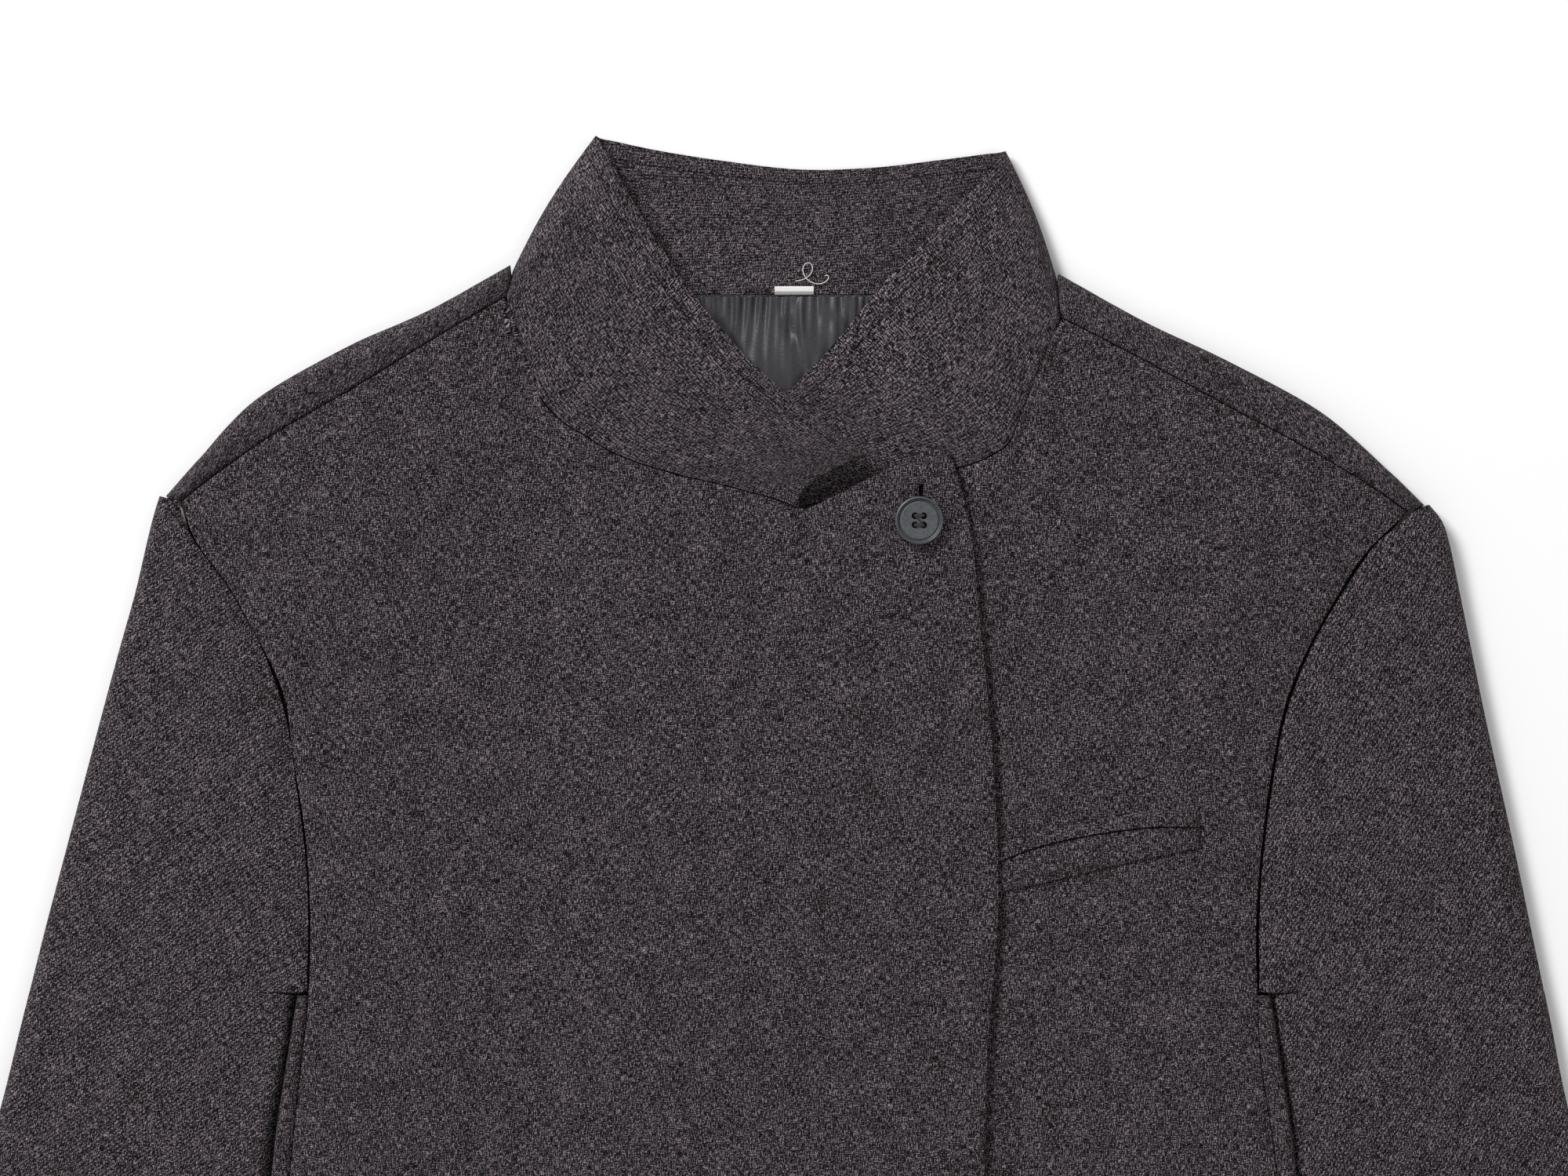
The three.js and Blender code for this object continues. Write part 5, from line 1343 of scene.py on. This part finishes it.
@dataclass
class Pocket:
    """The slanted chest pocket: an upper jet and a lower welt on the left front."""

    front: Front
    upper_cut: Cut
    lower_cut: Cut
    half_opening: float = 0.6
    thickness: float = 1.0
    step: float = 1.6
    crown: float = 0.35
    edge_lift: float = 1.1
    edge_drop: float = 0.5
    welt_swell: float = 0.9

    def _strip(self, name: str, high: Array, low: Array, lift: Array) -> bpy.types.Object:
        """Build one lip between two lines across the pocket.

        Args:
            name: The piece's name.
            high: Y of the upper line at each station.
            low: Y of the lower line at each station.
            lift: How far the lip stands up at each share of its width and each station.

        Returns:
            The lip.
        """
        x = self._stations()
        y = lerp(high[None, :], low[None, :], self._shares()[:, None])
        points = np.stack(np.broadcast_arrays(x[None, :], y, lift), axis=2)
        points[:, :, 2] += SEAM + self.thickness
        points[:, :, 2] += np.vectorize(self.front.height_at)(points[:, :, 0], points[:, :, 1])
        ends = np.minimum(x - x[0], x[-1] - x)
        points[:, :, 2] -= pressed_edge(ends, *POCKET_END_DIP)
        return make_cloth(name, points, plan_uv(points), self.thickness, 1)

    def _stations(self) -> Array:
        """Return the places along the pocket."""
        ends = POCKET_LINES.column("x")
        return graded(ends[0], ends[-1], self.step)

    @staticmethod
    def _shares() -> Array:
        """Return the shares of a lip's width."""
        return graded(0.0, 1.0, 0.08, 0.12)

    def build_upper(self) -> bpy.types.Object:
        """Build the upper jet, whose wavy lower edge stands off the slit."""
        x, share = self._stations(), self._shares()[:, None]
        slit = POCKET_LINES.by("x", "slit", x)
        wave = 0.75 + 0.35 * np.sin(x / 5.2 + 0.6) * np.exp(-(((x - 90.0) / 22.0) ** 2))
        lift = self.crown * np.sin(np.pi * share) + self.edge_lift * wave * smoothstep(share, 0.25, 1.0)
        edge = slit + self.half_opening - self.edge_drop * wave
        return self._strip("pocket_upper_jet", POCKET_LINES.by("x", "upper", x), edge, lift)

    def build_lower(self) -> bpy.types.Object:
        """Build the lower welt, which dips beside the slit and swells in its lower half."""
        x, share = self._stations(), self._shares()[:, None]
        slit = POCKET_LINES.by("x", "slit", x)
        lift = self.welt_swell * np.sin(np.pi * share**1.6) * np.ones_like(x)
        lower = POCKET_LINES.by("x", "lower", x)
        return self._strip("pocket_lower_welt", slit - self.half_opening, lower, lift)


# Button, buttonhole and threads


@dataclass
class Fastening:
    """The button, its stitches, the slit that it goes through, and a loose thread by the label."""

    x: float = 51.6
    y: float = 238.2
    face: float = 14.8
    base: float = 12.6
    hole: float = 1.3
    across: float = 3.3
    down: float = 3.5
    turn_steps: int = 96
    hole_steps: int = 24
    drill_length: float = 12.0
    profile: Sequence[tuple[float, float]] = (
        (0.0, 0.0), (8.0, 0.0), (8.8, 0.4), (9.2, 1.2), (9.2, 2.3), (9.1, 2.8), (8.9, 3.1), (8.65, 3.2),
        (8.4, 3.05), (8.25, 2.4), (8.0, 1.7), (7.75, 1.6), (7.5, 1.8), (7.25, 2.15), (6.8, 2.25),
        (3.0, 2.1), (0.0, 2.1),
    )
    loose_radius: float = 0.16
    loose_start: tuple[float, float, float] = (4.4, 330.4, 2.6)
    loose_end: tuple[float, float, float] = (15.8, 327.2, 2.6)
    loose_loop: float = 4.2
    loose_turns: float = 1.5
    loose_points: int = 90
    strand: float = 0.34
    strand_rows: tuple[float, ...] = (-0.36, 0.0, 0.36)
    strand_end: float = 0.5
    slit_x: float = 52.4
    slit_top: float = 252.2
    slit_bottom: float = 232.2
    slit_width: float = 1.8
    slit_depth: float = 30.0
    slit_z: float = 10.0

    def cut_slit(self, panel: bpy.types.Object) -> None:
        """Cut the buttonhole into a panel's wall."""
        tool = bmesh.new()
        bmesh.ops.create_cube(tool, size=1.0)
        length = self.slit_top - self.slit_bottom
        bmesh.ops.scale(tool, vec=Vector((self.slit_width, length, self.slit_depth)) * MM, verts=tool.verts)
        centre = Vector((self.slit_x, self.slit_bottom + length / 2, self.slit_z)) * MM
        bmesh.ops.translate(tool, vec=centre, verts=tool.verts)
        self._cut(panel, self._object("slit_tool", tool))

    def build_button(self) -> bpy.types.Object:
        """Build the button: a turned disc with a rim, a groove inside it and four holes."""
        turned = bmesh.new()
        places = [(radius * MM, 0.0, (self.base + height) * MM) for radius, height in self.profile]
        line = [turned.verts.new(place) for place in places]
        edges = [turned.edges.new(pair) for pair in zip(line, line[1:])]
        bmesh.ops.spin(
            turned, geom=line + edges, cent=(0.0, 0.0, 0.0), axis=(0.0, 0.0, 1.0), angle=math.tau,
            steps=self.turn_steps, use_merge=True,
        )
        bmesh.ops.remove_doubles(turned, verts=turned.verts, dist=1e-6)
        bmesh.ops.recalc_face_normals(turned, faces=turned.faces)
        bmesh.ops.translate(turned, vec=Vector((self.x, self.y, 0.0)) * MM, verts=turned.verts)
        drill = bmesh.new()
        radius = self.hole * MM
        for across in (-self.across / 2, self.across / 2):
            for down in (-self.down / 2, self.down / 2):
                made = bmesh.ops.create_cone(
                    drill, cap_ends=True, segments=self.hole_steps, radius1=radius, radius2=radius,
                    depth=self.drill_length * MM,
                )["verts"]
                place = Vector((self.x + across, self.y + down, self.base)) * MM
                bmesh.ops.translate(drill, vec=place, verts=made)
        button = self._object("four_hole_button", turned)
        self._cut(button, self._object("hole_drill", drill))
        bpy.context.view_layer.update()
        return button

    @staticmethod
    def _object(name: str, shape: bmesh.types.BMesh) -> bpy.types.Object:
        """Turn a finished shape into an object of the scene."""
        mesh = bpy.data.meshes.new(name)
        shape.to_mesh(mesh)
        shape.free()
        made = bpy.data.objects.new(name, mesh)
        bpy.context.scene.collection.objects.link(made)
        return made

    @staticmethod
    def _cut(piece: bpy.types.Object, cutter: bpy.types.Object) -> None:
        """Cut one object out of another and remove it."""
        cut = piece.modifiers.new("cut", "BOOLEAN")
        cut.operation, cut.solver, cut.object = "DIFFERENCE", "EXACT", cutter
        evaluated = piece.evaluated_get(bpy.context.evaluated_depsgraph_get())
        finished = bpy.data.meshes.new_from_object(evaluated)
        piece.modifiers.clear()
        piece.data = finished
        bpy.data.objects.remove(cutter)

    def build_stitches(self) -> bpy.types.Object:
        """Build the strands that join each pair of holes, and the slack one between the pairs."""
        strands = bmesh.new()
        half = self.across / 2 + self.strand_end
        for row in (-1, 1):
            for apart in self.strand_rows:
                y = self.y + row * self.down / 2 + apart
                self._strand(strands, (self.x - half, y), (self.x + half, y + 0.15 * row))
        slack_x, slack_y = half - 0.3, self.down / 2
        self._strand(strands, (self.x - slack_x, self.y + slack_y), (self.x + slack_x, self.y - slack_y))
        piece = self._object("button_stitches", strands)
        piece.data.shade_smooth()
        return piece

    def build_loose_thread(self) -> bpy.types.Object:
        """Build the curly loose end of white thread beside the label."""
        curve = bpy.data.curves.new("loose_thread", "CURVE")
        curve.dimensions, curve.bevel_depth, curve.bevel_resolution = "3D", self.loose_radius * MM, 3
        path = self.loose_path()
        line = curve.splines.new("POLY")
        line.points.add(len(path) - 1)
        for point, place in zip(line.points, path):
            point.co = (*place, 1.0)
        piece = bpy.data.objects.new("loose_thread", curve)
        bpy.context.scene.collection.objects.link(piece)
        return piece

    def loose_path(self) -> Array:
        """Return the points of the loose thread's curl in metres."""
        at = np.linspace(0.0, 1.0, self.loose_points)
        start, end = np.array(self.loose_start), np.array(self.loose_end)
        path = start + (end - start) * at[:, None]
        path[:, 1] = start[1] + (end[1] - start[1]) * at**3
        turn = self.loose_turns * math.tau * at**1.2
        radius = self.loose_loop * (1.0 - 0.4 * at)
        path[:, 0] += radius * np.sin(turn)
        path[:, 1] += radius * (1.0 - np.cos(turn))
        path[:, 2] += 3.0 * self.loose_radius * at * self.loose_turns
        return path * MM

    def _strand(
        self, strands: bmesh.types.BMesh, start: tuple[float, float], end: tuple[float, float]
    ) -> None:
        """Add one short strand that lies on the button's face."""
        run = Vector((end[0] - start[0], end[1] - start[1], 0.0)) * MM
        radius = self.strand * MM
        made = bmesh.ops.create_uvsphere(strands, u_segments=10, v_segments=8, radius=radius)["verts"]
        bmesh.ops.scale(strands, vec=(1.0, 1.0, run.length / 2 / (self.strand * MM)), verts=made)
        turn = Vector((0.0, 0.0, 1.0)).rotation_difference(run).to_matrix()
        bmesh.ops.rotate(strands, cent=(0.0, 0.0, 0.0), matrix=turn, verts=made)
        height = self.face + self.strand * 0.6
        middle = Vector(((start[0] + end[0]) / 2, (start[1] + end[1]) / 2, height)) * MM
        bmesh.ops.translate(strands, vec=middle, verts=made)


# Camera, floor and lights


@dataclass
class Studio:
    """A white table, soft light from the upper left, and a camera straight above."""

    view_width: float = 0.6
    view_centre: tuple[float, float] = (0.0, 0.2124)
    cloth_top: float = 0.009
    lens: float = 100.0
    sensor: float = 36.0
    surroundings: float = 0.45
    floor_size: float = 6.0
    lights: Sequence[tuple[str, tuple[float, float, float], float, float]] = (
        ("window_light", (-1.5, 1.8, 2.1), 1.0, 84.0),
        ("fill_light", (1.6, -1.2, 2.4), 2.2, 11.0),
    )

    def build(self) -> None:
        """Build the camera, the floor, the lights and the surrounding light."""
        scene = bpy.context.scene
        camera = bpy.data.objects.new("camera", bpy.data.cameras.new("camera"))
        camera.data.lens, camera.data.sensor_width = self.lens, self.sensor
        camera.location = (*self.view_centre, self.cloth_top + self.view_width * self.lens / self.sensor)
        scene.collection.objects.link(camera)
        scene.camera = camera
        self._floor()
        for name, place, size, power in self.lights:
            self._light(name, place, size, power)
        world = bpy.data.worlds.new("surroundings")
        world.use_nodes = True
        world.node_tree.nodes["Background"].inputs[0].default_value = (1.0, 1.0, 1.0, 1.0)
        world.node_tree.nodes["Background"].inputs[1].default_value = self.surroundings
        scene.world = world
        scene.view_settings.view_transform = "Standard"

    def _floor(self) -> None:
        """Build the white table."""
        surface = bmesh.new()
        bmesh.ops.create_grid(surface, x_segments=2, y_segments=2, size=self.floor_size)
        mesh = bpy.data.meshes.new("floor")
        surface.to_mesh(mesh)
        surface.free()
        floor = bpy.data.objects.new("floor", mesh)
        bpy.context.scene.collection.objects.link(floor)
        tree = Tree.new("white_table")
        surface = {"Base Color": (0.93, 0.93, 0.93, 1.0), "Roughness": 0.9}
        shader = tree.node("ShaderNodeBsdfPrincipled", {}, surface)
        tree.node("ShaderNodeOutputMaterial", {}, {"Surface": shader.outputs[0]})
        mesh.materials.append(tree.material)

    def _light(self, name: str, place: tuple[float, float, float], size: float, power: float) -> None:
        """Add a square soft light that looks at the middle of the view."""
        light = bpy.data.objects.new(name, bpy.data.lights.new(name, "AREA"))
        light.data.size, light.data.energy = size, power
        light.location = place
        aim = Vector((*self.view_centre, 0.0)) - Vector(place)
        light.rotation_euler = aim.to_track_quat("-Z", "Y").to_euler()
        bpy.context.scene.collection.objects.link(light)


# Creases, in millimetres seen from above
RIGHT_FRONT_CREASES = (
    Crease((-144.0, 182.0), (-156.0, 137.0), 9.0, 0.5),
    Crease((52.8, 251.0), (57.0, 267.0), 1.8, -0.8, 0.4),
    Crease((47.0, 250.0), (30.0, 262.0), 3.0, 0.3, -1.0),
    Crease((69.0, 137.0), (63.0, 77.0), 6.0, 0.4, 1.5),
    Crease((52.0, 60.0), (57.0, 26.0), 9.0, -0.6, 2.0),
    Crease((-60.0, 130.0), (-76.0, 20.0), 12.0, 0.35, 4.0),
    Crease((-172.0, 150.0), (-178.0, 96.0), 2.4, -0.4, 1.0),
    Crease((-20.0, -60.0), (-34.0, -190.0), 15.0, 0.6, 5.0),
    Crease((-150.0, -150.0), (-120.0, -290.0), 13.0, -0.6, -6.0),
)
LEFT_FRONT_CREASES = (
    Crease((129.0, 182.0), (133.0, 152.0), 6.0, 0.5),
    Crease((141.0, 178.0), (146.0, 150.0), 7.0, -0.5),
    Crease((172.5, 149.0), (180.0, 92.0), 1.7, -0.55, 1.2),
    Crease((150.0, 40.0), (138.0, -40.0), 9.0, 0.35, 2.0),
    Crease((110.0, -90.0), (126.0, -230.0), 14.0, -0.6, 5.0),
    Crease((168.0, -180.0), (160.0, -310.0), 11.0, 0.5, -4.0),
)
RIGHT_SLEEVE_CREASES = (
    Crease((-206.0, 190.0), (-232.0, 202.0), 6.0, -0.6, 1.5),
    Crease((-262.0, 60.0), (-218.0, 30.0), 8.0, -0.5, 2.5),
    Crease((-300.0, -60.0), (-236.0, -84.0), 10.0, 0.6, 3.0),
    Crease((-322.0, -170.0), (-262.0, -190.0), 9.0, -0.6, -3.0),
)
LEFT_SLEEVE_CREASES = (
    Crease((210.0, 200.0), (238.0, 210.0), 6.0, -0.9),
    Crease((215.0, 182.0), (236.0, 192.0), 6.0, -0.7),
    Crease((258.0, 70.0), (216.0, 40.0), 9.0, -0.5, -2.5),
    Crease((306.0, -44.0), (240.0, -70.0), 11.0, 0.6, -3.0),
    Crease((330.0, -190.0), (268.0, -206.0), 8.0, -0.6, 2.0),
)
UNDER_SLEEVE_CREASES = (
    Crease((-196.0, 120.0), (-244.0, 96.0), 6.0, 0.5, 2.0),
    Crease((-226.0, -30.0), (-282.0, -8.0), 8.0, 0.7, -3.0),
    Crease((-258.0, -170.0), (-310.0, -160.0), 7.0, 0.5, 2.0),
    Crease((200.0, 136.0), (250.0, 118.0), 7.0, 0.6, 2.0),
    Crease((222.0, -52.0), (280.0, -20.0), 9.0, 0.6, 4.0),
    Crease((262.0, -210.0), (318.0, -196.0), 6.0, 0.5, -2.0),
)
BACK_CREASES = (
    Crease((-96.0, 214.0), (-126.0, 120.0), 10.0, 0.8, 4.0),
    Crease((60.0, 170.0), (88.0, 40.0), 12.0, 0.7, -5.0),
    Crease((4.0, 120.0), (-6.0, -90.0), 9.0, 0.6, 3.0),
    Crease((-80.0, -60.0), (-58.0, -240.0), 13.0, 0.9, 6.0),
    Crease((98.0, -130.0), (74.0, -320.0), 11.0, 0.7, -5.0),
)
LINING_CREASES = (
    Crease((-27.0, 317.0), (-16.0, 300.0), 2.0, -1.1),
    Crease((0.5, 316.0), (3.4, 307.0), 2.2, -1.2),
    Crease((14.0, 318.0), (31.0, 304.0), 2.2, -1.1, -1.0),
    Crease((-14.0, 304.0), (-2.0, 284.0), 4.0, 0.9),
    Crease((10.0, 304.0), (8.0, 288.0), 2.4, -0.8),
)
COLLAR_CREASES = (
    Crease((87.0, 370.0), (72.0, 338.0), 5.0, -0.8),
    Crease((-4.4, 245.0), (-1.0, 249.6), 1.6, -0.9),
    Crease((-88.0, 330.0), (-74.0, 300.0), 7.0, -0.4, 1.0),
)


def lay(
    piece: bpy.types.Object, finish: bpy.types.Material, node: str,
) -> bpy.types.Object:
    """Dress a piece of laid cloth.

    Args:
        piece: The built piece.
        finish: Its material.
        node: The solid that it stands for.

    Returns:
        The piece.
    """
    dress(piece, finish, [node])
    return piece


def build_sleeves(finishes: Finishes) -> None:
    """Build both sleeves, and the side panels that lie on them."""
    for side, creases in ((Side.RIGHT, RIGHT_SLEEVE_CREASES), (Side.LEFT, LEFT_SLEEVE_CREASES)):
        word = side.name.lower()
        sleeve = Sleeve(side, Cut(0.2, 0.66, 0.083), Cut(0.2, 0.64, 0.0715), creases, UNDER_SLEEVE_CREASES)
        under = lay(sleeve.build_under(), finishes.sleeve, f"sleeve_{word}_under")
        top = lay(sleeve.build_top(), finishes.sleeve, f"sleeve_{word}_top")
        panel = SidePanel(side, Cut(0.12, 0.46, 0.032))
        lay(panel.build(), finishes.body, f"side_panel_{word}")


def build_threads(finishes: Finishes, fastening: Fastening) -> None:
    """Build the button's stitches and the loose thread, and dress the thread under the button."""
    dress(fastening.build_stitches(), finishes.thread, [])
    thread = fastening.build_loose_thread()
    thread.data.materials.append(finishes.white_thread)
    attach(thread, "root")
    path = fastening.loose_path()
    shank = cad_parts["button_thread"]
    shank.data.materials.clear()
    shank.data.materials.append(finishes.thread)


def build_jacket(finishes: Finishes) -> None:
    """Build and dress every piece of the jacket, from the underside up."""
    back = Back(Cut(0.5, 0.76, 0.2385), BACK_CREASES)
    under = lay(back.build(), finishes.body, "back")
    build_sleeves(finishes)
    lining = NeckLining(Cut(0.12, 0.066, 0.0067), LINING_CREASES)
    lay(lining.build(), finishes.lining, "lining_back_neck")
    left = Front(Side.LEFT, Cut(0.3, 0.71, 0.1646), LEFT_FRONT_CREASES)
    left_piece = lay(left.build(), finishes.body, "front_left")
    pocket = Pocket(left, Cut(0.106, 0.012, 0.00065), Cut(0.106, 0.016, 0.00136))
    for build, node, cut in (
        (pocket.build_upper, "pocket_jet_upper", pocket.upper_cut),
        (pocket.build_lower, "pocket_welt_lower", pocket.lower_cut),
    ):
        lay(build(), finishes.body, node)
    right = Front(Side.RIGHT, Cut(0.32, 0.71, 0.1828), RIGHT_FRONT_CREASES)
    right_piece = right.build()
    fastening = Fastening()
    fastening.cut_slit(right_piece)
    lay(right_piece, finishes.body, "front_right")
    collar = Collar(Cut(0.56, 0.075, 0.0285), COLLAR_CREASES)
    band = lay(collar.build(), finishes.collar, "collar")
    label = NeckLabel(Cut(0.0151, 0.01, 0.00006))
    lay(label.build(), finishes.label, "neck_label")
    dress(fastening.build_button(), finishes.button, ["button"])
    build_threads(finishes, fastening)


def main() -> None:
    """Build the studio and the jacket, and report each piece."""
    logging.basicConfig(level=logging.INFO, format="%(name)s %(message)s")
    Studio().build()
    build_jacket(Finishes())


if __name__ == "__main__":
    main()
